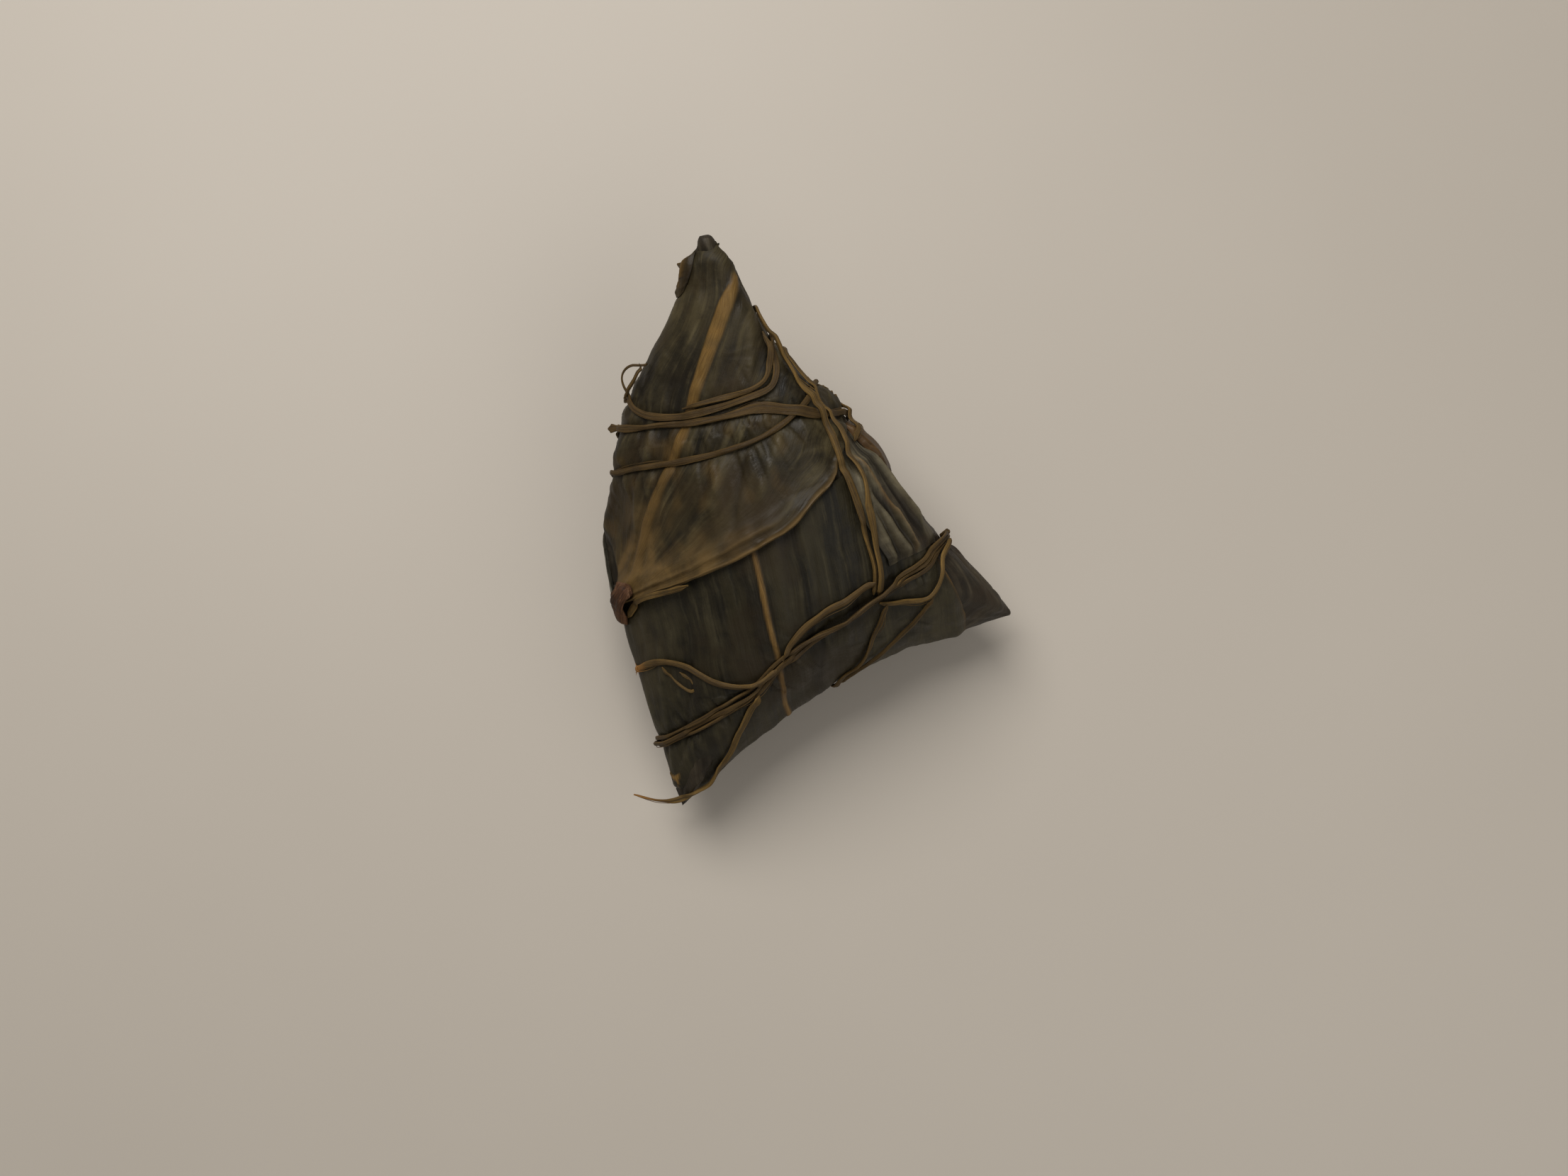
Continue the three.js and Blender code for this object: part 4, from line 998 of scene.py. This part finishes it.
leaves = {
    "lower_leaf": {
        "rib": [
            (-5.4, 5, 40), (-4.4, 1.2, 38.6), (-3, -5, 36.6), (-1.8, -10.6, 33.6), (-0.9, -14, 31.4),
            (-0.3, -17.4, 28.4), (0.6, -21, 23.8), (1.4, -23.8, 15)],
        "grid": (170, 230), "relief": lowerRelief, "grain": "front", "room": 0.4, "drape": 1.2,
        "feather": {"start": 2.5, "left": 3.0, "right": 2.2}, "finish": "darkLeaf", "slot": "leaf",
        "rails": [
            [(-18.4, -38.0, 9.6), (-21.6, -26, 14), (-24.6, -17, 16), (-27.4, -9, 16), (-30.5, -1, 17)],
            [(1.2, -23.8, 15), (0.6, -20.9, 24), (-0.4, -16.8, 29), (-1.7, -10.6, 33.4), (-3.4, 8, 41)],
            [(30.4, -7.8, 9), (31.2, -6.6, 15.6), (30.4, -4.4, 21), (26.6, 1.6, 27), (15.4, 21.5, 33)]],
        "lines": [
            ridge(0.25, 0.6, 0.35, (-21, -10, 25), (-19.4, -22, 20), (-18.4, -33, 14)),
            groove(0.3, 0.5, 0.35, (-15.6, -6, 30), (-15.4, -18, 26), (-15.8, -30, 16)),
            ridge(0.3, 0.8, 0.25, (8.4, 6, 40), (9.4, -3, 36), (10.6, -12, 27)),
            groove(0.3, 0.6, 0.3, (4.6, 4, 40), (5.4, -5, 36), (6.6, -16, 26)),
            {"rise": 0.35, "half": 0.35, "tan": 0.75, "places": [
                (25.6, 3.4, 28.5), (27.8, -0.2, 26.1), (29.4, -2.3, 23.8), (30.7, -4.7, 21),
                (31.3, -6.6, 16.7)]},
        ]},
    "brown_edge": {
        "grid": (60, 30), "relief": brownRelief, "room": 0.6, "thickness": 0.6, "finish": "brownLeaf",
        "feather": {"start": 2.0, "end": 2.0, "left": 1.0}, "slot": "brown_leaf",
        "rails": [
            [(10.2, 25.2, 34), (13.6, 21.2, 33.6), (17.8, 16.8, 30.6)],
            [(11.6, 26.4, 31), (15.2, 22.3, 29.8), (18.9, 18, 27.8)],
            [(11.8, 26.3, 29.4), (15.6, 22.1, 27.4), (19.2, 17.6, 26)]]},
    "flank_leaf": {
        "grid": (130, 150), "relief": flankRelief, "room": 0.3, "give": 0.35, "finish": "flankLeaf",
        "feather": {"end": 2.0}, "slot": "leaf",
        "rails": [
            [(7.5, 24.5, 38.5), (10, 16, 39.6), (12.5, 8, 38.3), (17, 1, 34)],
            [(9.5, 25, 35.5), (13.5, 17.5, 36), (17.5, 10, 34.5), (21.5, 3.5, 31.5)],
            [(10.2, 23.8, 34.8), (15.2, 17.2, 33), (21.4, 11.6, 28.4), (25.5, 5.8, 27)]],
        "lines": [
            {"rise": 0.3, "half": 0.28, "tan": 0.45, "taper": 1.5, "places": [
                (11, 19.6, 37.6), (13.2, 16.3, 37.4), (15.2, 13.4, 37), (17.4, 10.6, 36),
                (19.6, 7.9, 34.4), (21.8, 3.6, 32)]},
            ridge(0.8, 0.9, 0.8, (12, 23, 33), (15, 19, 34), (17.9, 15.6, 33.2), (20.6, 12, 32),
                (23.2, 8.2, 30.6)),
            ridge(0.95, 0.75, 0.75, (10.6, 17, 39), (13.1, 12.6, 38.8), (16.2, 8.4, 36.8),
                (18.7, 5.3, 34.8), (21, 2.4, 31.6)),
            ridge(0.8, 0.5, 0.65, (16.6, 11.6, 36.2), (18.9, 8.4, 35), (20.6, 5.8, 33.6), (22.6, 2.9, 31)),
            groove(0.85, 0.5, 0.8, (13.4, 14.2, 38.6), (16, 10.8, 37), (19, 6.9, 34.6), (21.8, 3, 31.4)),
            groove(0.7, 0.45, 0.7, (14.4, 17.4, 36.2), (17.2, 13.8, 34.6), (20.2, 9.6, 33),
                (22.8, 5.6, 30.8)),
            ridge(0.5, 0.6, 0.5, (12.6, 11.4, 38.6), (15, 8.2, 37.4), (16.8, 4.4, 35.8), (18.6, 0.8, 33)),
            groove(0.6, 0.4, 0.7, (13.8, 11.4, 38.4), (16, 7.4, 37), (18, 4, 35), (19.8, 1, 32)),
        ]},
    "under_leaf": {
        "grid": (80, 60), "relief": underRelief, "room": 0.1,
        "feather": {"left": 4, "end": 5, "start": 3}, "finish": "greyLeaf", "slot": "pale_leaf",
        "rails": [
            [(-27.5, -3, 8), (-28.5, 4, 7), (-28, 12, 7)],
            [(-28.4, -5.6, 13), (-30.6, 4, 13), (-29.8, 14, 13)],
            [(-27.6, -6, 17.4), (-30.2, 3, 18.4), (-29.4, 14, 18)]]},
    "upper_leaf": {
        "rib": [
            (-7.4, 48.4, 45), (-7.9, 46.6, 45), (-8.7, 44.2, 45), (-9.7, 41.2, 44.4),
            (-11.8, 35.5, 42.4), (-13.9, 29.9, 40.6), (-15.1, 26, 39.4), (-16.4, 22, 37.8),
            (-18.4, 17.6, 35.8), (-20.6, 12.8, 32.8), (-22.6, 8, 29.6), (-24, 4.2, 27),
            (-25.2, 0, 24.4), (-26.4, -4.6, 20)],
        "grid": (210, 200), "relief": upperRelief, "room": 0.45, "thickness": 0.38, "drape": 1.5,
        "crowd": 0.14, "feather": {"left": 2.5, "end": 2.5}, "finish": "cookedLeaf", "slot": "leaf",
        "rails": [
            [(-27.6, -4.6, 20), (-30, 4, 20), (-29.8, 14, 18), (-25, 27, 22), (-19.4, 38, 31),
             (-16.2, 51, 42)],
            [(-26.7, -4.5, 18.5), (-22, 9, 30.2), (-17, 20.5, 36.8), (-13.6, 31, 40.8),
             (-9.9, 40.6, 43.5), (-10.2, 52, 45.4)],
            [(-25.8, -4, 20), (-9.4, 0.9, 37.1), (2, 7.4, 41), (9.3, 17.8, 40), (7, 32, 29),
             (-7.4, 50.6, 42.8)]],
        "lines": [
            groove(0.5, 0.7, 0.7, (-22.2, 33.4, 34.6), (-22.9, 30.6, 33.6), (-22.4, 28, 34), taper=2),
            groove(0.5, 0.8, 0.6, (-19.4, 21.6, 36), (-20.2, 19, 35), (-21.2, 15.6, 33.4), taper=2),
            ridge(0.4, 0.7, 0.5, (-17.6, 38, 38), (-20.4, 31.4, 35.6), (-21.6, 26.6, 34.6),
                (-21.9, 21, 34), (-24, 14, 31), (-25.6, 6, 28)),
            groove(0.35, 0.5, 0.45, (-16.6, 33, 38.4), (-18.6, 27, 37), (-19.2, 22.6, 36.6)),
            ridge(0.35, 0.8, 0.5, (-12, 46, 42.6), (-14.4, 38, 41), (-16, 33, 39.4)),
            ridge(0.4, 0.9, 0.45, (-9, 22, 41.4), (-10.6, 15, 40), (-12.4, 8, 38)),
            ridge(0.35, 0.8, 0.5, (0, 24, 42), (-2, 17, 42), (-4.4, 10.6, 41)),
            groove(0.3, 0.6, 0.35, (-5, 23, 42), (-7, 15, 41), (-8.4, 6, 39)),
            ridge(0.35, 0.8, 0.4, (-6, 44, 43), (-5.4, 36, 42.6), (-5.6, 30.4, 42)),
            groove(0.35, 0.6, 0.4, (-3.4, 41, 42), (-4, 34, 42), (-4.6, 30, 42)),
            {"rise": 0.5, "half": 0.9, "dark": 0.15, "taper": 1.5, "places": [
                (-3.4, 5.4, 40), (-3.6, 3.4, 39.6)]},
        ]},
    "tip_fold": {
        "grid": (50, 34), "relief": tipFoldRelief, "room": 0.3, "finish": "cookedLeaf", "slot": "leaf",
        "feather": {"start": 1.5, "end": 1.5, "right": 1.2}, "edgeWave": 0.2,
        "rails": [
            [(-17.4, 44, 40.4), (-17.6, 47.2, 40.8), (-16.4, 50.6, 42.6)],
            [(-16.6, 44.2, 41.8), (-16.2, 47.6, 43), (-15.2, 50.9, 44.2)],
            [(-16, 44.8, 42.8), (-14.4, 48.4, 44.6), (-13.9, 51.2, 45.2)]]},
}


# One closed strip. Each ring gives its middle, its sides, its half sizes and its place along.
def addStrand(bm, rings, around, seed, curl=0.0, rough=0.0):
    grain = bm.verts.layers.float_vector["grain"]
    mask = bm.verts.layers.float_color["leafMask"]
    last = len(rings) - 1
    made = bmesh.ops.create_grid(bm, x_segments=around, y_segments=last, size=0.5)["verts"]
    joined = []
    for vert in made:
        turn = 2 * math.pi * (vert.co.x + 0.5)
        index = round((vert.co.y + 0.5) * last)
        ring = rings[index]
        if abs(vert.co.x) > 0.499:
            turn = 0
            joined.append(vert)
        elif index in (0, last):
            joined.append(vert)
        wide, tall = math.cos(turn), math.sin(turn)
        px, py = ring["phase"]
        lump = wave(wide * 1.6 + px * 0.35, tall * 1.6 + seed, py * 0.35)
        ribs = 1 + 0.05 * math.cos(5 * turn + seed) + (0.08 + rough) * lump
        x = wide * ring["half"][0] * ribs
        y = tall * ring["half"][1] * ribs + curl * ring["half"][0] * (wide * wide - 0.5)
        vert.co = ring["middle"] + ring["side"] * x + ring["up"] * y
        vert[grain] = (x + seed * 5, y, ring["run"])
        tip, _, _, shade = ring["mask"]
        vert[mask] = (tip, wide * wide, 0, shade)
    bmesh.ops.remove_doubles(bm, verts=joined, dist=1e-4)
    edges = [e for e in {e for v in made if v.is_valid for e in v.link_edges} if e.is_boundary]
    if edges:
        bmesh.ops.holes_fill(bm, edges=edges, sides=around + 1)


def ringSize(strip, run, whole, px, py):
    # half the width, half the thickness and the twist at one place of a strip
    seed, turns = strip["seed"], strawLook["twistCount"]
    first, final = 1, 1
    if not strip["closed"]:
        first = smoothstep(0, strip["thin"][0], run)
        final = smoothstep(0, strip["thin"][1], whole - run)
    narrow = (0.3 + 0.7 * first) * (0.3 + 0.7 * final)
    if "taper" in strip:
        narrow *= 1 - 0.8 * smoothstep(strip["taper"], 0, whole - run)
    if "slim" in strip:
        size, far = strip["slim"]
        narrow *= size + (1 - size) * smoothstep(far - 2, far + 1, run)
    narrow *= 1 + strip["knob"] * hump(run - 0.5, 0.5)
    turning = wave(px * turns, py * turns, seed + 9)
    half = strip["width"] / 2 * narrow
    half *= 1 + strip["bulge"] * hump(run - whole * 0.3, whole * 0.09)
    half *= 1 + 0.4 * wave(px * 0.19, py * 0.19, seed + 3)
    half *= 1 - 0.25 * abs(turning)
    tall = strip["thickness"] / 2 * (0.5 + 0.5 * narrow)
    tall *= 1 + 0.3 * wave(px * 0.3, py * 0.3, seed + 6) + 0.8 * abs(turning)
    return half, tall, math.radians(strawLook["twist"]) * 2 * turning


def bridged(need, closed):
    # a closed strip is settled three times round, so that its seam doesn't show
    raw = np.array(need)
    if closed:
        raw[-1] = raw[0]
        raw = np.concatenate([raw[:-1]] * 3)
    height = blurred(blurred(settled(raw, [strawLook["reachOver"]]), 0), 0)
    return height[len(need) - 1:2 * len(need) - 1] if closed else height


def overRings(line, strip):
    # rests a strip on whatever was laid before it
    count = len(line)
    closed = strip["closed"]
    whole = line[-1][2]
    ringed = whole / (2 * math.pi)

    def phase(run):
        # where the unevenness is read, so that a closed strip meets itself
        if closed:
            return ringed * math.cos(run / ringed), ringed * math.sin(run / ringed)
        return 0.0, run

    def neighbour(i, step):
        if closed:
            return (i + step) % (count - 1)
        return min(count - 1, max(0, i + step))

    path = [nearest(place)[0].lerp(place, loose) for place, loose, _ in line]
    held = () if closed else (0, count - 1)
    for _ in range(strawLook["smoothing"]):
        path = [p if i in held else (path[neighbour(i, -1)] + p * 2 + path[neighbour(i, 1)]) / 4
                for i, p in enumerate(path)]
    beds, need = [], []
    for i, (_, loose, run) in enumerate(line):
        px, py = phase(run)
        spot, normal = nearest(path[i])
        tangent = (path[neighbour(i, 2)] - path[neighbour(i, -2)]).normalized()
        side = tangent.cross(normal).normalized()
        up = side.cross(tangent).normalized()
        sway = strip["offset"] * (1 + 0.7 * wave(px * 0.12, py * 0.12, strip["seed"] + 4))
        sway += 0.13 * wave(px * 0.16, py * 0.16, strip["seed"])
        base, normal = nearest(path[i].lerp(spot, 1 - loose) + side * sway)
        wanted = -1.0
        for share in (-0.5, -0.25, 0, 0.25, 0.5):
            probe = base + side * (share * strip["width"])
            under, out = nearest(probe)
            wanted = max(wanted, heightAbove(under, out) + strawLook["gap"] - (probe - under).dot(out))
        need.append(wanted)
        beds.append((base, normal, side, up))
    rings = []
    for (_, loose, run), free, bed, height in zip(line, path, beds, bridged(need, closed)):
        base, normal, side, up = bed
        half, tall, twist = ringSize(strip, run, whole, *phase(run))
        lifted = height + tall + 0.75 * half * abs(math.sin(twist))
        middle = (base + normal * lifted).lerp(free, loose)
        wide = side * math.cos(twist) + up * math.sin(twist)
        high = up * math.cos(twist) - side * math.sin(twist)
        middle.z = max(middle.z, half * abs(wide.z) + tall * abs(high.z) + 0.05)
        rings.append({"middle": middle, "side": wide, "up": high, "half": (half, tall), "run": run,
                      "phase": phase(run), "mask": (0, 0, 0, strip["shade"])})
    if closed:
        rings[-1] = {**rings[0], "run": whole}
    return rings


def addHairs(bm, rings, seed, count):
    # thin fibres that stand off the edge of a strip and come back to it
    total = len(rings)
    for k in range(count):
        start = int((0.08 + 0.8 * noise.cell(Vector((seed * 3.1 + k * 1.7, 4.2, 1)))) * total)
        reach = int(18 + 26 * abs(noise.cell(Vector((seed + k * 2.3, 1.1, 8)))))
        hand = 1 if noise.cell(Vector((k * 5.7, seed, 3))) > 0.5 else -1
        piece = rings[start:start + reach]
        if len(piece) < 8:
            continue
        hair = []
        for n, ring in enumerate(piece):
            bulge = math.sin(math.pi * n / (len(piece) - 1))
            out = ring["half"][0] * 0.8 + strawLook["hairBow"] * bulge
            middle = ring["middle"] + ring["side"] * (hand * out) + ring["up"] * (0.14 * bulge + 0.05)
            radius = strawLook["hairRadius"] * (0.4 + 0.6 * bulge)
            hair.append({**ring, "middle": middle, "half": (radius, radius)})
        addStrand(bm, hair, 6, seed + k)


def addFray(bm, rings, seed, count):
    # the torn end opens into single fibres
    end = rings[-1]
    tangent = (rings[-1]["middle"] - rings[-4]["middle"]).normalized()
    for k in range(count):
        share = (k + 0.5) / count * 2 - 1
        reach = strawLook["frayLength"] * (0.5 + 0.5 * abs(wave(k * 3.3, seed)))
        hair = []
        for n in range(14):
            t = n / 13
            middle = (end["middle"] - tangent * 1.4 + end["side"] * (share * 0.35)
                      + tangent * (reach * t) + end["side"] * (share * 0.9 * t * t)
                      + end["up"] * (0.5 * wave(k * 1.9, t * 1.2, seed) * t))
            radius = strawLook["frayRadius"] * (1 - 0.8 * t)
            hair.append({**end, "middle": middle, "half": (radius * 1.4, radius),
                         "run": end["run"] + reach * t, "mask": (0.85, 0, 0, 0)})
        addStrand(bm, hair, 6, seed + k)


def layStraw(name, straw, number):
    width, strips, rough, brown = (straw[key] for key in ("width", "strips", "rough", "brown"))
    bm = bmesh.new()
    bm.verts.layers.float_vector.new("grain")
    bm.verts.layers.float_color.new("leafMask")
    common = {key: straw[key] for key in ("thickness", "thin", "shade", "knob", "bulge")}
    routes = [dict(straw, offset=(k - (strips - 1) / 2) * width / strips * 0.95) for k in range(strips)]
    routes += [dict(branch, offset=0) for branch in straw["branches"]]
    for turn, route in enumerate(routes):
        seed = number * 2.37 + turn * 11.3
        strip = dict(common, width=route["width"], offset=route["offset"], seed=seed, closed=False)
        if turn < strips:
            strip.update({key: straw[key] for key in ("taper", "slim") if key in straw})
            strip.update(width=width / strips, closed=straw["closed"])
        line = alongCurve(route["places"], strawLook["step"], strip["closed"])
        rings = overRings(line, strip)
        for ring in rings:
            # the loose ends are paler and redder towards the tip
            gone = line[-1][2] - ring["run"]
            if straw["fray"]:
                shade = strip["shade"] * smoothstep(2, 8, gone)
                ring["mask"] = (0.8 * smoothstep(5.0, 0.5, gone), 0, 0, shade)
            if "taper" in strip:
                shade = strip["shade"] * smoothstep(4, 10, gone)
                ring["mask"] = (0.5 * smoothstep(8.0, 1.0, gone), 0, 0, shade)
        curl = 0 if rough else strawLook["curl"] * math.copysign(1, wave(seed * 1.7, 3.3) + 0.1)
        addStrand(bm, rings, strawLook["around"] * (2 if rough else 1), seed, curl, rough)
        if len(routes) > 1:
            laid.append(BVHTree.FromBMesh(bm))
        if not rough:
            addHairs(bm, rings, seed, max(1, len(rings) // strawLook["hairEvery"]))
        if straw["fray"]:
            addFray(bm, rings, seed, straw["fray"])
    bmesh.ops.recalc_face_normals(bm, faces=bm.faces[:])
    laid.append(BVHTree.FromBMesh(bm))
    material = materials["stalk" if brown else "straw"]
    finishPiece(name + "_strip", bm, material, "brown_leaf" if brown else "straw", name)


buildParcel()
for name, look in leaves.items():
    layLeaf(name, look)
print("leaves laid")
for number, (name, straw) in enumerate(straws.items()):
    layStraw(name, straw, number)
print("straw wound")

# The floor, the light and the camera.
stageLook = {
    "floorSize": 1.5, "floor": (183, 175, 164), "floorRough": 0.5,
    "keyPlace": (-0.14, 0.29, 0.53), "keySize": 0.42, "keyWatts": 3.0, "keyColour": (1, 0.97, 0.93),
    "fillPlace": (0.3, -0.28, 0.42), "fillSize": 0.6, "fillWatts": 0.85, "fillColour": (1, 0.975, 0.94),
    "skyStrength": 0.2, "skyColour": (1, 0.98, 0.94, 1),
}


def buildStage():
    look = stageLook
    bm = bmesh.new()
    bmesh.ops.create_grid(bm, x_segments=1, y_segments=1, size=look["floorSize"])
    mesh = bpy.data.meshes.new("floor")
    bm.to_mesh(mesh)
    floor = bpy.data.objects.new("floor", mesh)
    scene.collection.objects.link(floor)
    material, tree, shader = startMaterial("floorFinish")
    place = addNode(tree, "ShaderNodeTexCoord").outputs["Object"]
    clouds = noiseAt(tree, place, (14, 14, 14), 3, 0.5)
    pale = tuple(min(255, c + 5) for c in look["floor"])
    tree.links.new(mixAt(tree, clouds, linear(look["floor"]), linear(pale)), shader.inputs["Base Color"])
    shader.inputs["Roughness"].default_value = look["floorRough"]
    mesh.materials.append(material)
    for name in ("key", "fill"):
        light = bpy.data.lights.new(name, "AREA")
        light.shape = "DISK"
        light.size = look[name + "Size"]
        light.energy = look[name + "Watts"]
        light.color = look[name + "Colour"]
        lamp = bpy.data.objects.new(name, light)
        lamp.location = look[name + "Place"]
        lamp.rotation_mode = "QUATERNION"
        lamp.rotation_quaternion = (-lamp.location).to_track_quat("-Z", "Y")
        scene.collection.objects.link(lamp)
    world = bpy.data.worlds.new("sky")
    world.use_nodes = True
    sky = world.node_tree.nodes["Background"]
    sky.inputs[0].default_value = look["skyColour"]
    sky.inputs[1].default_value = look["skyStrength"]
    scene.world = world


cameraLook = {"eye": (0, -30.0, 428.95), "target": (0, 0, 0), "lens": 55.54, "sensor": 36}


def buildCamera():
    look = cameraLook
    data = bpy.data.cameras.new("camera")
    data.lens = look["lens"]
    data.sensor_width = look["sensor"]
    data.dof.use_dof = False
    data.clip_start, data.clip_end = 0.01, 20
    camera = bpy.data.objects.new("camera", data)
    eye, target = ((Vector(look[k]) + shift) * mm for k in ("eye", "target"))
    camera.location = eye
    camera.rotation_mode = "QUATERNION"
    camera.rotation_quaternion = (target - eye).to_track_quat("-Z", "Y")
    scene.collection.objects.link(camera)
    scene.camera = camera


buildStage()
buildCamera()
scene.view_settings.view_transform = "Standard"
print("floor, light and camera set")
